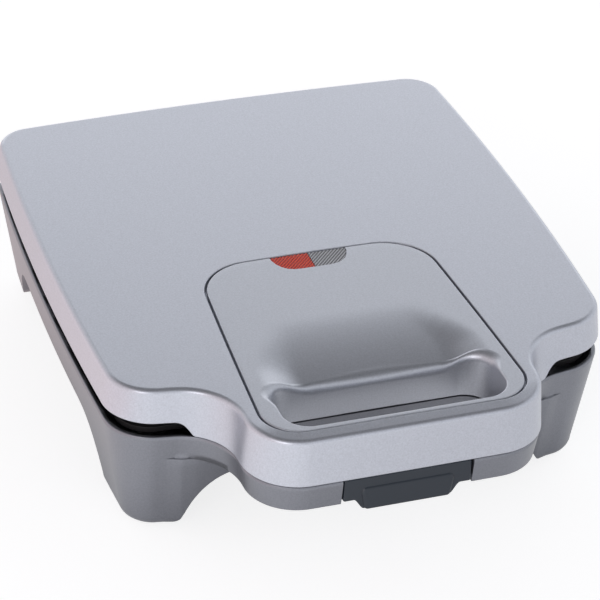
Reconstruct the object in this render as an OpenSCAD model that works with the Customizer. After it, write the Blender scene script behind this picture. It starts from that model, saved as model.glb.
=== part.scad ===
// Sandwich toaster for four slices: a hinged lid over a base on four moulded legs, each
// with a die-cast hotplate of triangular pockets, a handle that both halves share with a
// hand hole through it, two signal lamps and a front latch.
// Origin: middle of the footprint, on the table. X to the right, Y to the back, Z up.

/* [Overall size] */
// Width across the two front corners of the body
shoulder_width = 265; // [262:0.5:268]
// Depth of the body, from the line of its front corners to its back corners
body_depth = 271; // [268:0.5:274]
// How far the handle stands out in front of the front corners
handle_reach = 63; // [61:0.5:65]
// Height from the table to the top of the lid
total_height = 92.5; // [91.5:0.5:95]
// Outward bow of each long side at its middle
side_bow = 5.6; // [4:0.2:6.4]
// Outward bow of the back edge at its middle
back_bow = 3.8; // [2:0.2:5]

/* [Outline] */
// Radius of the two back corners
back_radius = 18; // [17:0.5:22]
// Radius of the two front corners of the body
front_radius = 25; // [22:0.5:27]
// Half width of the handle where its side leaves the body
neck_half = 80; // [78:0.5:82]
// Radius of the hollow corner between body and handle
neck_radius = 29; // [25:0.5:29.5]
// Half width of the handle at its front corners
handle_half = 78; // [76.5:0.5:79]
// Radius of the two front corners of the handle
handle_radius = 29; // [25:0.5:29.5]

/* [Lid] */
// Height of the base's top edge above the table
lip_z = 65.2; // [64:0.1:66]
// Open gap between base and lid round the body
side_gap = 8.4; // [8:0.1:9]
// Gap between base and lid round the handle
handle_gap = 0.4; // [0.3:0.1:0.6]
// Wall thickness of the lid and base mouldings
wall = 2.6; // [2.4:0.1:2.8]
// How much the lid's skirt draws in from its lower edge to its top
lid_draft = 1.9; // [1.2:0.1:2.4]
// Radius round the lid's top edge
lid_fillet = 2.8; // [2.2:0.1:3.2]

/* [Base and legs] */
// Inward slope of the base's walls, in mm a mm of height
leg_taper = 0.16; // [0.12:0.01:0.17]
// Height of the underside of the handle
handle_under = 50; // [49:0.5:51]
// Height of the arches between the legs
arch_z = 39; // [37:0.5:40]
// Height of the moulded legs' underside, which is the rubber feet's thickness
foot_height = 2.5; // [2:0.1:3]

/* [Handle insert] */
// Half width of the insert at its back corners
insert_back = 61; // [59:0.5:63]
// Half width of the insert at its front corners
insert_front = 69.5; // [68:0.5:70]
// Half width of the hand hole
hole_half = 58.5; // [56:0.5:59.5]
// Length of the hand hole, front to back
hole_length = 41; // [38:0.5:41.5]
// Depth of the scoop at the edge of the hand hole
scoop_depth = 5.6; // [4:0.2:6.4]
// Gap round the insert
insert_gap = 0.7; // [0.5:0.05:0.8]

/* [Hotplates] */
// Side of each square hotplate
plate_side = 240; // [239:0.5:241]
// Thickness of the hotplates
plate_wall = 3; // [2.8:0.1:3.2]
// Depth of the sandwich pockets
pocket_depth = 10.5; // [9:0.25:11]
// Width of the ridges between pockets, which seal the sandwiches
seal_ridge = 6; // [5:0.25:7]
// Diameter of the tubular heating elements
element_diameter = 6.4; // [6:0.1:6.6]

/* [Hinge and latch] */
// Diameter of the hinge pins
hinge_pin_diameter = 4; // [3.5:0.1:4.5]
// Opening angle of the lid at its stop
lid_opening = 100; // [98:1:100]
// Width of the latch
latch_width = 67; // [64:0.5:68]
// Diameter of the latch pin
latch_pin_diameter = 3; // [2.6:0.1:3.2]
// Radial clearance of every pin and screw in its bore
pin_clearance = 0.08; // [0.05:0.01:0.1]

/* [Hidden] */
front_bow = 0.5;
total_depth = handle_reach + front_bow + body_depth + back_bow;
back_y = total_depth / 2;
// Y of the line through the body's front corners
front_y = handle_reach + front_bow - back_y;
handle_front_y = front_y - handle_reach;
half_front = shoulder_width / 2;
half_back = half_front - 1.2;
neck_reach = 8.8;
lid_edge_z = lip_z + side_gap;
lid_low_z = lip_z + handle_gap;
lid_under_z = total_height - wall;
floor_z = arch_z + wall;
handle_floor_z = handle_under + wall;
lip_inset = 0.9;
steps = 5; // segments in each rounded corner of an outline
fine = 48; // facets of a drawn circle

// Fasteners
screw_radius = 1.5;
screw_head_radius = 3;
screw_head_height = 1.8;
screw_length = 8;
boss_radius = 4;

// Hinge: pin axis, arms on the lid and brackets on the base
hinge_back = 6;
hinge_y = back_y - hinge_back;
hinge_z = lip_z;
ear_radius = 5;
ear_x = 64;
ear_width = 16;
cheek_width = 5;
hinge_side_gap = 0.4;
hinge_reach = ear_width / 2 + hinge_side_gap + cheek_width;
// Floor of the wall's notch, where the arms' heels stop the opened lid
hinge_notch_z = hinge_z - (ear_radius + hinge_back * cos(lid_opening - 90)
    * sin(lid_opening - 90)) / cos(lid_opening - 90) - 0.2;
arm_flange_z = lid_under_z - 8;
arm_flange = 3;
bracket_foot = 6;

// Latch: pin axis on the base, noses behind the lid's front skirt
latch_y = handle_front_y + 6.8;
latch_z = lip_z - 4.4;
latch_roll = 3.5;
latch_side_gap = 0.8;
latch_face_y = handle_front_y + 1.2;
latch_plate = 3.4;
latch_depth = 5.6;
latch_opening = 12;
nose_x = 18;
nose_width = 14;
nose_thick = 2;
shelf_z = 71.8;
shelf_height = 1.8;
shelf_reach = 1.7;

// Hand hole
hole_front_y = front_y - 50.5;
hole_back_y = hole_front_y + hole_length;
hole_radius = 14;
tube_wall = 1.8;
tube_front_y = hole_front_y - tube_wall;

// Handle insert and signal lenses
insert_front_y = front_y - 53.6;
insert_back_y = front_y + 99.5;
insert_thick = 2.4;
insert_ledge = 3.5;
scoop_start_y = front_y + 40;
lens_half = 21;
lens_foot_half = 14.5;
lens_length = 11.5;
lens_back_y = insert_back_y - 0.9;
lens_gap = 0.2;
holder_height = 6;

// Hotplates and what stands round them
plate_y = front_y + 128;
plate_half = plate_side / 2;
plate_radius = 12;
plate_gap = 0.4;
low_face_z = lip_z + 4.4;
low_back_z = low_face_z - plate_wall;
up_face_z = low_face_z + plate_gap;
up_back_z = up_face_z + plate_wall;
ledge = 6;
frame_thick = 3;
element_radius = element_diameter / 2;
element_seat = 0.2;
element_line = plate_half - ledge - 1.5 - element_radius;
element_bend = 16;
element_gap = 15;
cell_outer = element_line - element_radius - 1 - plate_wall;
cell_inner = seal_ridge / 2;
pocket_draft = 4.5;
pocket_corner = 10;
bulge_low = low_face_z - pocket_depth - plate_wall;
frame_back_y = hinge_y - 1.6;
frame_notch = 15;
frame_front_y = front_y + 4;
frame_x = half_front - 5.5;
frame_radius = 18;
frame_screw_x = plate_half + 4;
frame_screw_y = [front_y + 66, front_y + 186];
plate_screw_x = plate_half - 3;
plate_screw_y = [plate_y - 70, plate_y + 70];
tray_z = floor_z + 4;
tray_thick = 0.8;
upper_tray_z = lid_under_z - 2.4;
tray_half = cell_outer - 1;
post_x = 60;
post_radius = 3.5;
stake_radius = 1.5;
stake_head = 1.2;
thermostat_x = -52;
thermostat_y = plate_y - 52;
thermostat_radius = 8;
thermostat_boss = 4;
thermostat_screw = 15;

// Feet and cord entry
foot_radius = 6.5;
foot_stem = 2.5;
foot_x = 107;
foot_front_y = front_y + 20;
foot_back_y = front_y + 246;
cord_x = 38;
cord_z = floor_z + 8;
cord_bore = 3.5;
bush_radius = 5;

// ---- Outlines ------------------------------------------------------------

function unit(v) = v / norm(v);

// Points of the rounded corner at p, on the way from a to b
function corner(p, a, b, r, n = steps) =
    let (u = unit(a - p), v = unit(b - p), half = acos(u * v) / 2,
         c = p + unit(u + v) * r / sin(half),
         s = p + u * r / tan(half) - c,
         e = p + v * r / tan(half) - c,
         a0 = atan2(s[1], s[0]), turn = atan2(e[1], e[0]) - a0,
         span = turn > 180 ? turn - 360 : turn < -180 ? turn + 360 : turn)
    [for (i = [0 : n]) c + r * [cos(a0 + span * i / n), sin(a0 + span * i / n)]];

function between(a, b, n) = [for (i = [1 : n]) a + (b - a) * i / (n + 1)];

// The bows of the sides, the back and the handle's front
function bowed(p) =
    let (u = (p[1] - front_y - body_depth / 2) / (body_depth / 2),
         w = min(1, max(-1, u)),
         f = min(1, max(0, (front_y - p[1]) / 50)))
    [p[0] * (1 + side_bow / half_front * (1 - w * w)),
     p[1] + back_bow * (1 - pow(p[0] / half_front, 2)) * max(w, 0)
          - front_bow * (1 - pow(p[0] / handle_half, 2)) * f];

// Right half of the outline, from the back to the front, at x above zero
function half_line() =
    let (back = [half_back, front_y + body_depth],
         shoulder = [half_front, front_y],
         neck = [neck_half, front_y - neck_reach],
         tip = [handle_half, handle_front_y],
         c1 = corner(back, [0, back[1]], shoulder, back_radius),
         c2 = corner(shoulder, back, neck, front_radius),
         c3 = corner(neck, shoulder, tip, neck_radius),
         c4 = corner(tip, neck, [0, tip[1]], handle_radius))
    [for (p = concat([[14, back[1]], [60, back[1]]], c1,
                     between(c1[steps], c2[0], 7), c2, c3, c4,
                     [[26, tip[1]], [10, tip[1]]])) bowed(p)];

base_line = half_line();

// A half outline drawn in by k, along its own normals
function drawn_in(line, k) =
    let (n = len(line))
    [for (i = [0 : n - 1])
        let (before = i == 0 ? [-line[0][0], line[0][1]] : line[i - 1],
             after = i == n - 1 ? [-line[i][0], line[i][1]] : line[i + 1],
             t = unit(after - before))
        line[i] + k * [t[1], -t[0]]];

// The whole ring: right half from back to front, then left half back again
function ring(half, z) =
    let (n = len(half))
    concat([for (p = half) [p[0], p[1], z]],
           [for (i = [n - 1 : -1 : 0]) [-half[i][0], half[i][1], z]]);

function flat_ring(half) = [for (p = ring(half, 0)) [p[0], p[1]]];

// Triangles of a skin between rings of n points, numbered one ring after another
function skin_faces(rings, n) =
    [for (r = [0 : rings - 2], i = [0 : n - 1])
        let (j = (i + 1) % n, a = r * n + i, b = r * n + j)
        each [[a, b, b + n], [a, b + n, a + n]]];

// Triangles of a cap on the ring that starts at point s, in strips from side to side
function cap_faces(s, n, up) =
    [for (i = [0 : n / 2 - 2])
        let (a = s + i, b = s + i + 1, c = s + n - 2 - i, d = s + n - 1 - i)
        each up ? [[a, b, c], [a, c, d]] : [[a, c, b], [a, d, c]]];

// A closed solid through rings of [inset, z]; its first and last rings are capped
module loft(line, rings) {
    n = 2 * len(line);
    last = (len(rings) - 1) * n;
    polyhedron(
        points = [for (r = rings) each ring(drawn_in(line, r[0]), r[1])],
        faces = concat(skin_faces(len(rings), n), cap_faces(0, n, false),
                       cap_faces(last, n, true)),
        convexity = 10);
}

// The skin of a convex shape: corners moved in by k and rounded, at height z
function cell_ring(corners, k, r, z) =
    let (n = len(corners),
         moved = [for (i = [0 : n - 1])
             let (p = corners[i], u = unit(corners[(i + n - 1) % n] - p),
                  v = unit(corners[(i + 1) % n] - p), half = acos(u * v) / 2)
             p + unit(u + v) * k / sin(half)])
    [for (i = [0 : n - 1])
        each [for (q = corner(moved[i], moved[(i + n - 1) % n], moved[(i + 1) % n], r, 3))
            [q[0], q[1], z]]];

// A convex tapered block between two rings of equal count, given clockwise from above
module taper(low, high) {
    n = len(low);
    polyhedron(points = concat(low, high),
               faces = concat(skin_faces(2, n), [[for (i = [n - 1 : -1 : 0]) i]],
                              [[for (i = [0 : n - 1]) n + i]]),
               convexity = 4);
}

// Plan of a rounded rectangle with its middle at the origin
module rounded(x, y, r, facets = fine) {
    square([x - 2 * r, y], center = true);
    square([x, y - 2 * r], center = true);
    for (sx = [-1, 1], sy = [-1, 1])
        translate([sx * (x / 2 - r), sy * (y / 2 - r)]) circle(r = r, $fn = facets);
}

module round_slab(x, y, r, z0, z1) {
    translate([0, 0, z0]) linear_extrude(z1 - z0) rounded(x, y, r);
}

// A rod along X between two x values
module rod_x(x0, x1, y, z, r) {
    translate([x0, y, z]) rotate([0, 90, 0]) cylinder(r = r, h = x1 - x0, $fn = fine);
}

module upright(x, y, z0, z1, r, facets = fine) {
    translate([x, y, z0]) cylinder(r = r, h = z1 - z0, $fn = facets);
}

// A screw with its head at z and its shank going up (side = 1) or down (side = -1)
module screw(x, y, z, side, length = screw_length) {
    translate([x, y, z]) mirror([0, 0, side > 0 ? 0 : 1]) {
        translate([0, 0, -screw_head_height])
            cylinder(r = screw_head_radius, h = screw_head_height, $fn = fine);
        cylinder(r = screw_radius, h = length, $fn = fine);
    }
}

function screw_bore() = screw_radius + pin_clearance;

// ---- Base ------------------------------------------------------------------

function base_inset(z) = lip_inset + leg_taper * (lip_z - z);

// Arch between left and right legs, drawn through the whole length; k grows it
module front_arch(k) {
    side = concat([[97.5, -10], [97.5, 0], [96.5, 7], [90, 24]],
                  [for (a = [20 : 17.5 : 90]) [88 - 13 * sin(a), arch_z - 12 * (1 - sin(a))]]);
    grown = [for (p = side) [p[0] + k, p[1] + k * (p[1] > 20 ? (p[1] - 20) / (arch_z - 20) : 0)]];
    translate([0, back_y + 20, 0]) rotate([90, 0, 0])
        linear_extrude(total_depth + 40)
            polygon(concat(grown, [for (i = [len(grown) - 1 : -1 : 0]) [-grown[i][0], grown[i][1]]]));
}

// Arch between front and back legs, drawn through the whole width; k grows it
module side_arch(k) {
    top = arch_z + k;
    translate([-shoulder_width, front_y, 0]) rotate([90, 0, 90])
        linear_extrude(2 * shoulder_width)
            polygon([[48 - k, -10], [48 - k, 3], [50 - k, 12], [54 - k, 24], [59 - k, top - 7],
                     [66 - k, top - 2], [76 - k, top], [190 + k, top], [203 + k, top - 3.5],
                     [217 + k, top - 14], [229 + k, top - 28], [236 + k, 0], [236 + k, -10]]);
}

// What is cut from under the handle, down to the legs' front faces
module under_handle(k) {
    top = handle_under + k;
    x0 = 106;
    y0 = front_y - 5.6 + base_inset(top) + k;
    face = [[x0, -60], [x0, -0.6], [x0 - 6, -1.4], [x0 - 14, -2.6], [x0 - 28, -3.6], [50, -4]];
    leaned = [for (p = face) [p[0], p[1]]];
    hull_free_wedge(leaned, y0, top);
}

// A block whose back face leans by the legs' taper
module hull_free_wedge(face, y0, top) {
    depth = top + 10;
    half = concat(face, []);
    plan = concat([for (p = half) p], [for (i = [len(half) - 1 : -1 : 0]) [-half[i][0], half[i][1]]]);
    n = len(plan);
    polyhedron(
        points = concat([for (p = plan) [p[0], y0 + p[1] + (p[1] > -50 ? leg_taper * depth : 0), -10]],
                        [for (p = plan) [p[0], y0 + p[1], top]]),
        faces = concat([for (i = [0 : n - 1]) [i, i + n, (i + 1) % n + n, (i + 1) % n]],
                       [[for (i = [0 : n - 1]) i]], [[for (i = [n - 1 : -1 : 0]) i + n]]),
        convexity = 6);
}

// Outside of the base at k = 0, its hollow at k = wall
module base_block(k) {
    low = foot_height + k;
    round_r = 6.5;
    belly = low + round_r;
    edge = 1;
    bottom = [for (a = [90 : -22.5 : 0])
        [base_inset(belly) + k + round_r * 0.85 * (1 - cos(a)), belly - round_r * sin(a)]];
    top = k == 0
        ? [[base_inset(lip_z - edge), lip_z - edge], [lip_inset + 0.35, lip_z - 0.3],
           [lip_inset + edge, lip_z]]
        : [[base_inset(lip_z) + k, lip_z + 1]];
    difference() {
        loft(base_line, concat(bottom, top));
        under_handle(k);
        side_arch(k);
        front_arch(k);
    }
}

// Plan of the hand hole, drawn in by k
module hole_plan(k) {
    translate([0, (hole_front_y + hole_back_y) / 2])
        rounded(2 * (hole_half - k), hole_length - 2 * k, hole_radius - k, 24);
}

// Posts of the reflector tray, each with a stake that passes through the sheet
module tray_posts() {
    for (x = [-1, 1], y = [-1, 1]) {
        upright(x * post_x, plate_y + y * post_x, floor_z - 1, tray_z, post_radius);
        upright(x * post_x, plate_y + y * post_x, tray_z - 1, tray_z + tray_thick + stake_head,
                stake_radius);
    }
}

// Slots in the floor that let warm air through
module vents() {
    for (x = [-40 : 20 : 40], y = [-1, 1])
        translate([x - 2.5, plate_y + y * 30 - 14, arch_z - 1]) cube([5, 28, wall + 2]);
}

module hinge_notch(s) {
    w = 2 * hinge_reach + 1;
    translate([s * ear_x - w / 2, hinge_y - 7.5, hinge_notch_z]) cube([w, 30, 30]);
}

module latch_notch() {
    w = latch_width + 2 * latch_side_gap;
    translate([-w / 2, handle_front_y - 5, handle_under - 6]) cube([w, 5 + latch_depth, 30]);
}

module cord_hole() {
    translate([cord_x, back_y + 10, cord_z]) rotate([90, 0, 0])
        cylinder(r = bush_radius + pin_clearance, h = 30, $fn = fine);
}

module foot_places() {
    for (s = [-1, 1]) {
        translate([s * foot_x, foot_front_y, 0]) children();
        translate([s * (foot_x + 6), foot_back_y, 0]) children();
    }
}

// The hollow moulding; resize keeps its height and leaves every other size as drawn
module base_moulding() {
    resize([0, 0, lip_z - foot_height])
        difference() {
            union() {
                difference() {
                    base_block(0);
                    base_block(wall);
                }
                // tube round the hand hole
                translate([0, 0, handle_under + 0.4])
                    linear_extrude(lip_z - handle_under - 0.4) hole_plan(-tube_wall);
            }
            translate([0, 0, handle_under - 8]) linear_extrude(30) hole_plan(0);
            latch_notch();
            for (s = [-1, 1]) hinge_notch(s);
            vents();
        }
}

module base_shell() {
    color("#8d9097")
        difference() {
            union() {
                base_moulding();
                for (x = [-1, 1], y = frame_screw_y)
                    upright(x * frame_screw_x, y, floor_z - 1, low_back_z - frame_thick, boss_radius);
                tray_posts();
            }
            for (x = [-1, 1], y = frame_screw_y)
                upright(x * frame_screw_x, y, floor_z + 4, lip_z, screw_bore());
            foot_places() upright(0, 0, 0, foot_height + wall + 4, foot_stem + pin_clearance);
            cord_hole();
            for (p = bracket_screw_places()) upright(p[0], p[1], arch_z - 1, floor_z + 1, screw_bore());
            for (x = [-1, 1])
                upright(x * carrier_screw_x, carrier_y, handle_under - 1, handle_floor_z + 1, screw_bore());
        }
}

// Frame that carries the lower hotplate
module plate_frame(z) {
    difference() {
        translate([0, (frame_front_y + frame_back_y) / 2, 0])
            round_slab(2 * frame_x, frame_back_y - frame_front_y, frame_radius, z, z + frame_thick);
        translate([0, plate_y, 0])
            round_slab(plate_side - 2 * ledge, plate_side - 2 * ledge, plate_radius - 4,
                       z - 1, z + frame_thick + 1);
        // clear of the hinges
        for (s = [-1, 1])
            translate([s * ear_x - frame_notch, hinge_y - 10, z - 1])
                cube([2 * frame_notch, 20, frame_thick + 2]);
        for (x = [-1, 1], y = frame_screw_y)
            upright(x * frame_screw_x, y, z - 1, z + frame_thick + 1, screw_bore());
        for (x = [-1, 1], y = plate_screw_y)
            upright(x * plate_screw_x, y, z - 1, z + frame_thick + 1, screw_bore());
    }
}

module base_frame() {
    color("#1c1b1d") plate_frame(low_back_z - frame_thick);
}

// The four corners of the triangle's cell, as two triangles, clockwise from above
function cell_triangles(sx, sy) =
    let (a = cell_inner, b = cell_outer, g = seal_ridge / 2)
    [[[a, b] , [b, b], [b, a]], [[a, a], [a, b], [b, a]]];

// A hotplate with its cooking face at z = 0 and its back below
module hotplate(bosses) {
    difference() {
        union() {
            round_slab(plate_side, plate_side, plate_radius, -plate_wall, 0);
            for (sx = [-1, 1], sy = [-1, 1]) mirror([sx < 0 ? 1 : 0, 0, 0]) mirror([0, sy < 0 ? 1 : 0, 0])
                cell_bulge();
            for (p = bosses)
                upright(p[0], p[1], -pocket_depth - plate_wall - thermostat_boss,
                        -pocket_depth - 1, boss_radius);
        }
        for (sx = [-1, 1], sy = [-1, 1]) mirror([sx < 0 ? 1 : 0, 0, 0]) mirror([0, sy < 0 ? 1 : 0, 0])
            for (t = cell_triangles(sx, sy)) pocket(t);
        for (x = [-1, 1], y = plate_screw_y)
            upright(x * plate_screw_x, y - plate_y, -plate_wall - 1, -0.9, screw_bore());
        for (p = bosses)
            upright(p[0], p[1], -pocket_depth - plate_wall - thermostat_boss - 1,
                    -pocket_depth - plate_wall + 0.5, screw_bore());
    }
}

// One triangular pocket: rounded corners, walls that draw in to its floor
module pocket(t) {
    k = seal_ridge / 2;
    taper(cell_ring(t, k + pocket_draft, pocket_corner - 3, -pocket_depth),
          cell_ring(t, k - 0.4, pocket_corner, 1));
}

// The back of one cell, a wall's thickness outside its two pockets
module cell_bulge() {
    a = cell_inner + seal_ridge / 2 - plate_wall;
    b = cell_outer - seal_ridge / 2 + plate_wall;
    q = [[a, b], [b, b], [b, a], [a, a]];
    taper(cell_ring(q, pocket_draft, pocket_corner - 3, -pocket_depth - plate_wall),
          cell_ring(q, 0, pocket_corner, -0.5));
}

module lower_plate() {
    color("#2b2a2c") translate([0, plate_y, low_face_z])
        hotplate([for (s = [-1, 1])
            [thermostat_x + s * thermostat_screw, thermostat_y - plate_y]]);
}

module upper_plate() {
    color("#2b2a2c") translate([0, plate_y, up_face_z]) mirror([0, 0, 1]) hotplate([]);
}

// Tubular heating element that runs round the pockets; its ends turn away from the plate
module element_loop() {
    h = element_line;
    r = element_bend;
    for (s = [-1, 1]) {
        translate([s * h, -h + r, 0]) rotate([-90, 0, 0])
            cylinder(r = element_radius, h = 2 * (h - r), $fn = fine);
        translate([s * (h - r), h - r, 0]) rotate([0, 0, s > 0 ? 0 : 90])
            rotate_extrude(angle = 90, $fn = fine) translate([r, 0]) circle(r = element_radius, $fn = fine);
        translate([s * (h - r), -h + r, 0]) rotate([0, 0, s > 0 ? -90 : 180])
            rotate_extrude(angle = 90, $fn = fine) translate([r, 0]) circle(r = element_radius, $fn = fine);
        // back run, then a bend and a cold end with its terminal pin
        rod_x(s > 0 ? element_gap : -(h - r), s > 0 ? h - r : -element_gap, h, 0, element_radius);
        translate([s * element_gap, h, -8]) rotate([90, 0, 0]) rotate([0, 0, s > 0 ? 90 : 0])
            rotate_extrude(angle = 90, $fn = fine) translate([8, 0]) circle(r = element_radius, $fn = fine);
        upright(s * (element_gap - 8), h, -11, -8, element_radius);
        upright(s * (element_gap - 8), h, -12.8, -10, 1.4);
    }
    rod_x(-(h - r), h - r, -h, 0, element_radius);
}

module lower_element() {
    color("#6f6a66")
        translate([0, plate_y, low_back_z - element_radius - element_seat]) element_loop();
}

module upper_element() {
    color("#6f6a66")
        translate([0, plate_y, up_back_z + element_radius + element_seat])
            mirror([0, 0, 1]) element_loop();
}

// Sheet that throws the heat back at a hotplate
module reflector(z) {
    difference() {
        translate([0, plate_y, 0])
            round_slab(2 * tray_half, 2 * tray_half, 14, z, z + tray_thick);
        for (x = [-1, 1], y = [-1, 1])
            upright(x * post_x, plate_y + y * post_x, z - 1, z + tray_thick + 1,
                    stake_radius + pin_clearance);
    }
}

module lower_reflector() {
    color("#b9bcc0") reflector(tray_z);
}

module upper_reflector() {
    color("#b9bcc0") difference() {
        reflector(upper_tray_z - tray_thick);
        // window for the lamp holder
        translate([-lens_half - 5, lens_back_y - lens_length - 5, upper_tray_z - 2])
            cube([2 * lens_half + 10, lens_length + 5, 4]);
    }
}

// Bimetal thermostat pressed to the back of a pocket by its strap
module thermostat() {
    z = bulge_low - thermostat_boss;
    color("#d8d2c4") translate([thermostat_x, thermostat_y, 0]) {
        cylinder_between(z, bulge_low, thermostat_radius);
        difference() {
            translate([-thermostat_screw - 5, -5, z - 1.2])
                cube([2 * thermostat_screw + 10, 10, 1.2]);
            for (s = [-1, 1])
                upright(s * thermostat_screw, 0, z - 2, z, screw_bore());
        }
        for (s = [-1, 1]) translate([s * 4 - 0.4, -3, z - 5]) cube([0.8, 6, 4.5]);
    }
}

module cylinder_between(z0, z1, r) {
    upright(0, 0, z0, z1, r);
}

module terminal_block() {
    color("#e9e6dc")
        difference() {
            translate([-18, hinge_y - 22, floor_z]) cube([36, 14, 12]);
            for (x = [-11 : 11 : 11]) upright(x, hinge_y - 15, floor_z + 4, floor_z + 13, 2.4);
        }
}

// Rubber bush that the mains cord passes through
module cord_bush() {
    color("#232326") translate([cord_x, 0, cord_z]) rotate([-90, 0, 0])
        difference() {
            union() {
                translate([0, 0, back_y - 14]) cylinder(r = bush_radius, h = 14.5, $fn = fine);
                translate([0, 0, back_y - 14]) cylinder(r = bush_radius + 2, h = 5, $fn = fine);
            }
            translate([0, 0, back_y - 15]) cylinder(r = cord_bore, h = 17, $fn = fine);
        }
}

module rubber_feet() {
    color("#26262a") foot_places() {
        cylinder(r = foot_radius, h = foot_height, $fn = fine);
        cylinder(r = foot_stem, h = foot_height + wall + 1, $fn = fine);
    }
}

module base_frame_screws() {
    color("#9a9ca0") for (x = [-1, 1], y = frame_screw_y)
        screw(x * frame_screw_x, y, low_back_z, -1, 14);
}

module lower_plate_screws() {
    color("#9a9ca0") {
        for (x = [-1, 1], y = plate_screw_y)
            screw(x * plate_screw_x, y, low_back_z - frame_thick, 1, 4.5);
        for (s = [-1, 1])
            screw(thermostat_x + s * thermostat_screw, thermostat_y,
                  bulge_low - thermostat_boss - 1.2, 1, 4.5);
    }
}

// ---- Hinge -----------------------------------------------------------------

function bracket_screw_places() =
    [for (s = [-1, 1], t = [-1, 1]) [s * ear_x + t * 6.5, hinge_y - 9]];

// Two brackets inside the base; each has a foot on the floor and two cheeks for the pin
module hinge_brackets() {
    foot_back = hinge_y - 3.2;
    color("#2a2a2d") for (s = [-1, 1])
        difference() {
            union() {
                translate([s * ear_x - hinge_reach, foot_back - 12, floor_z])
                    cube([2 * hinge_reach, 12, bracket_foot]);
                for (t = [-1, 1])
                    translate([s * ear_x + t * (hinge_reach - cheek_width / 2) - cheek_width / 2, 0, 0])
                        bracket_cheek(foot_back);
            }
            rod_x(s * ear_x - hinge_reach - 1, s * ear_x + hinge_reach + 1, hinge_y, hinge_z,
                  hinge_pin_diameter / 2 + pin_clearance);
            for (p = bracket_screw_places())
                upright(p[0], p[1], floor_z - 1, floor_z + bracket_foot + 1, screw_bore());
        }
}

// One cheek: a web that leans back with the wall and ends in a round eye
module bracket_cheek(foot_back) {
    eye = 4.2;
    rod_x(0, cheek_width, hinge_y, hinge_z, eye);
    rotate([90, 0, 90]) linear_extrude(cheek_width)
        polygon([[foot_back - 12, floor_z], [foot_back, floor_z], [hinge_y - 0.2, hinge_z - 5],
                 [hinge_y + eye * 0.8, hinge_z - eye * 0.6], [hinge_y - eye, hinge_z],
                 [hinge_y - eye * 0.6, hinge_z + eye * 0.8 - 1], [hinge_y - 9, hinge_z - 6]]);
}

module bracket_screws() {
    color("#9a9ca0") for (p = bracket_screw_places()) screw(p[0], p[1], arch_z, 1, wall + bracket_foot - 1);
}

module hinge_pins() {
    color("#b4b6ba") for (s = [-1, 1])
        rod_x(s * ear_x - hinge_reach, s * ear_x + hinge_reach, hinge_y, hinge_z, hinge_pin_diameter / 2);
}

// Two arms inside the lid; each has a flange under the lid's bosses and an eye on the pin
module hinge_arms() {
    color("#2a2a2d") for (s = [-1, 1])
        difference() {
            union() {
                rod_x(s * ear_x - ear_width / 2, s * ear_x + ear_width / 2, hinge_y, hinge_z, ear_radius);
                translate([s * ear_x - ear_width / 2, 0, 0]) rotate([90, 0, 90])
                    linear_extrude(ear_width)
                        polygon([[hinge_y - ear_radius, hinge_z], [hinge_y + ear_radius, hinge_z],
                                 [hinge_y + ear_radius, hinge_z + 4], [hinge_y + 0.4, hinge_z + 8],
                                 [hinge_y + 0.4, arm_flange_z], [hinge_y - 24.5, arm_flange_z],
                                 [hinge_y - 24.5, arm_flange_z - arm_flange],
                                 [hinge_y - 10, arm_flange_z - arm_flange]]);
            }
            rod_x(s * ear_x - ear_width / 2 - 1, s * ear_x + ear_width / 2 + 1, hinge_y, hinge_z,
                  hinge_pin_diameter / 2 + pin_clearance);
            for (y = arm_screw_y()) {
                upright(s * ear_x, y, hinge_z + 8, arm_flange_z + 1, screw_bore());
                upright(s * ear_x, y, hinge_z + 8, arm_flange_z - arm_flange, screw_head_radius + 0.3);
            }
        }
}

function arm_screw_y() = [hinge_y - 20.5, hinge_y - 13.5];

module arm_screws() {
    color("#9a9ca0") for (s = [-1, 1], y = arm_screw_y())
        screw(s * ear_x, y, arm_flange_z - arm_flange, 1, arm_flange + 5);
}

// ---- Latch -----------------------------------------------------------------
carrier_screw_x = 24;
carrier_y = latch_y + 1.4;

// Black carrier on the floor of the base's handle; its cheeks hold the latch pin
module latch_carrier() {
    w = latch_width / 2 + latch_side_gap;
    color("#1c1b1d") difference() {
        union() {
            translate([-w - 4, handle_front_y + latch_depth + 0.4, handle_floor_z])
                cube([2 * w + 8, tube_front_y - 0.1 - handle_front_y - latch_depth - 0.4, 3.6]);
            for (s = [-1, 1])
                translate([s * (w + 2) - 2, 0, 0]) rotate([90, 0, 90]) linear_extrude(4)
                    polygon([[tube_front_y - 0.1, handle_floor_z], [tube_front_y - 0.1, lip_z - 0.8],
                             [latch_y - 2.3, lip_z - 0.8], [latch_y - 2.3, latch_z - 1.5],
                             [latch_y - 0.7, handle_floor_z]]);
        }
        rod_x(-w - 5, w + 5, latch_y, latch_z, latch_pin_diameter / 2 + pin_clearance);
        for (x = [-1, 1])
            upright(x * carrier_screw_x, carrier_y, handle_floor_z - 1, handle_floor_z + 5, screw_bore());
    }
}

module carrier_screws() {
    color("#9a9ca0") for (x = [-1, 1]) screw(x * carrier_screw_x, carrier_y, handle_under, 1, wall + 3.4);
}

module latch_pin() {
    w = latch_width / 2 + latch_side_gap + 4;
    color("#b4b6ba") rod_x(-w, w, latch_y, latch_z, latch_pin_diameter / 2);
}

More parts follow.
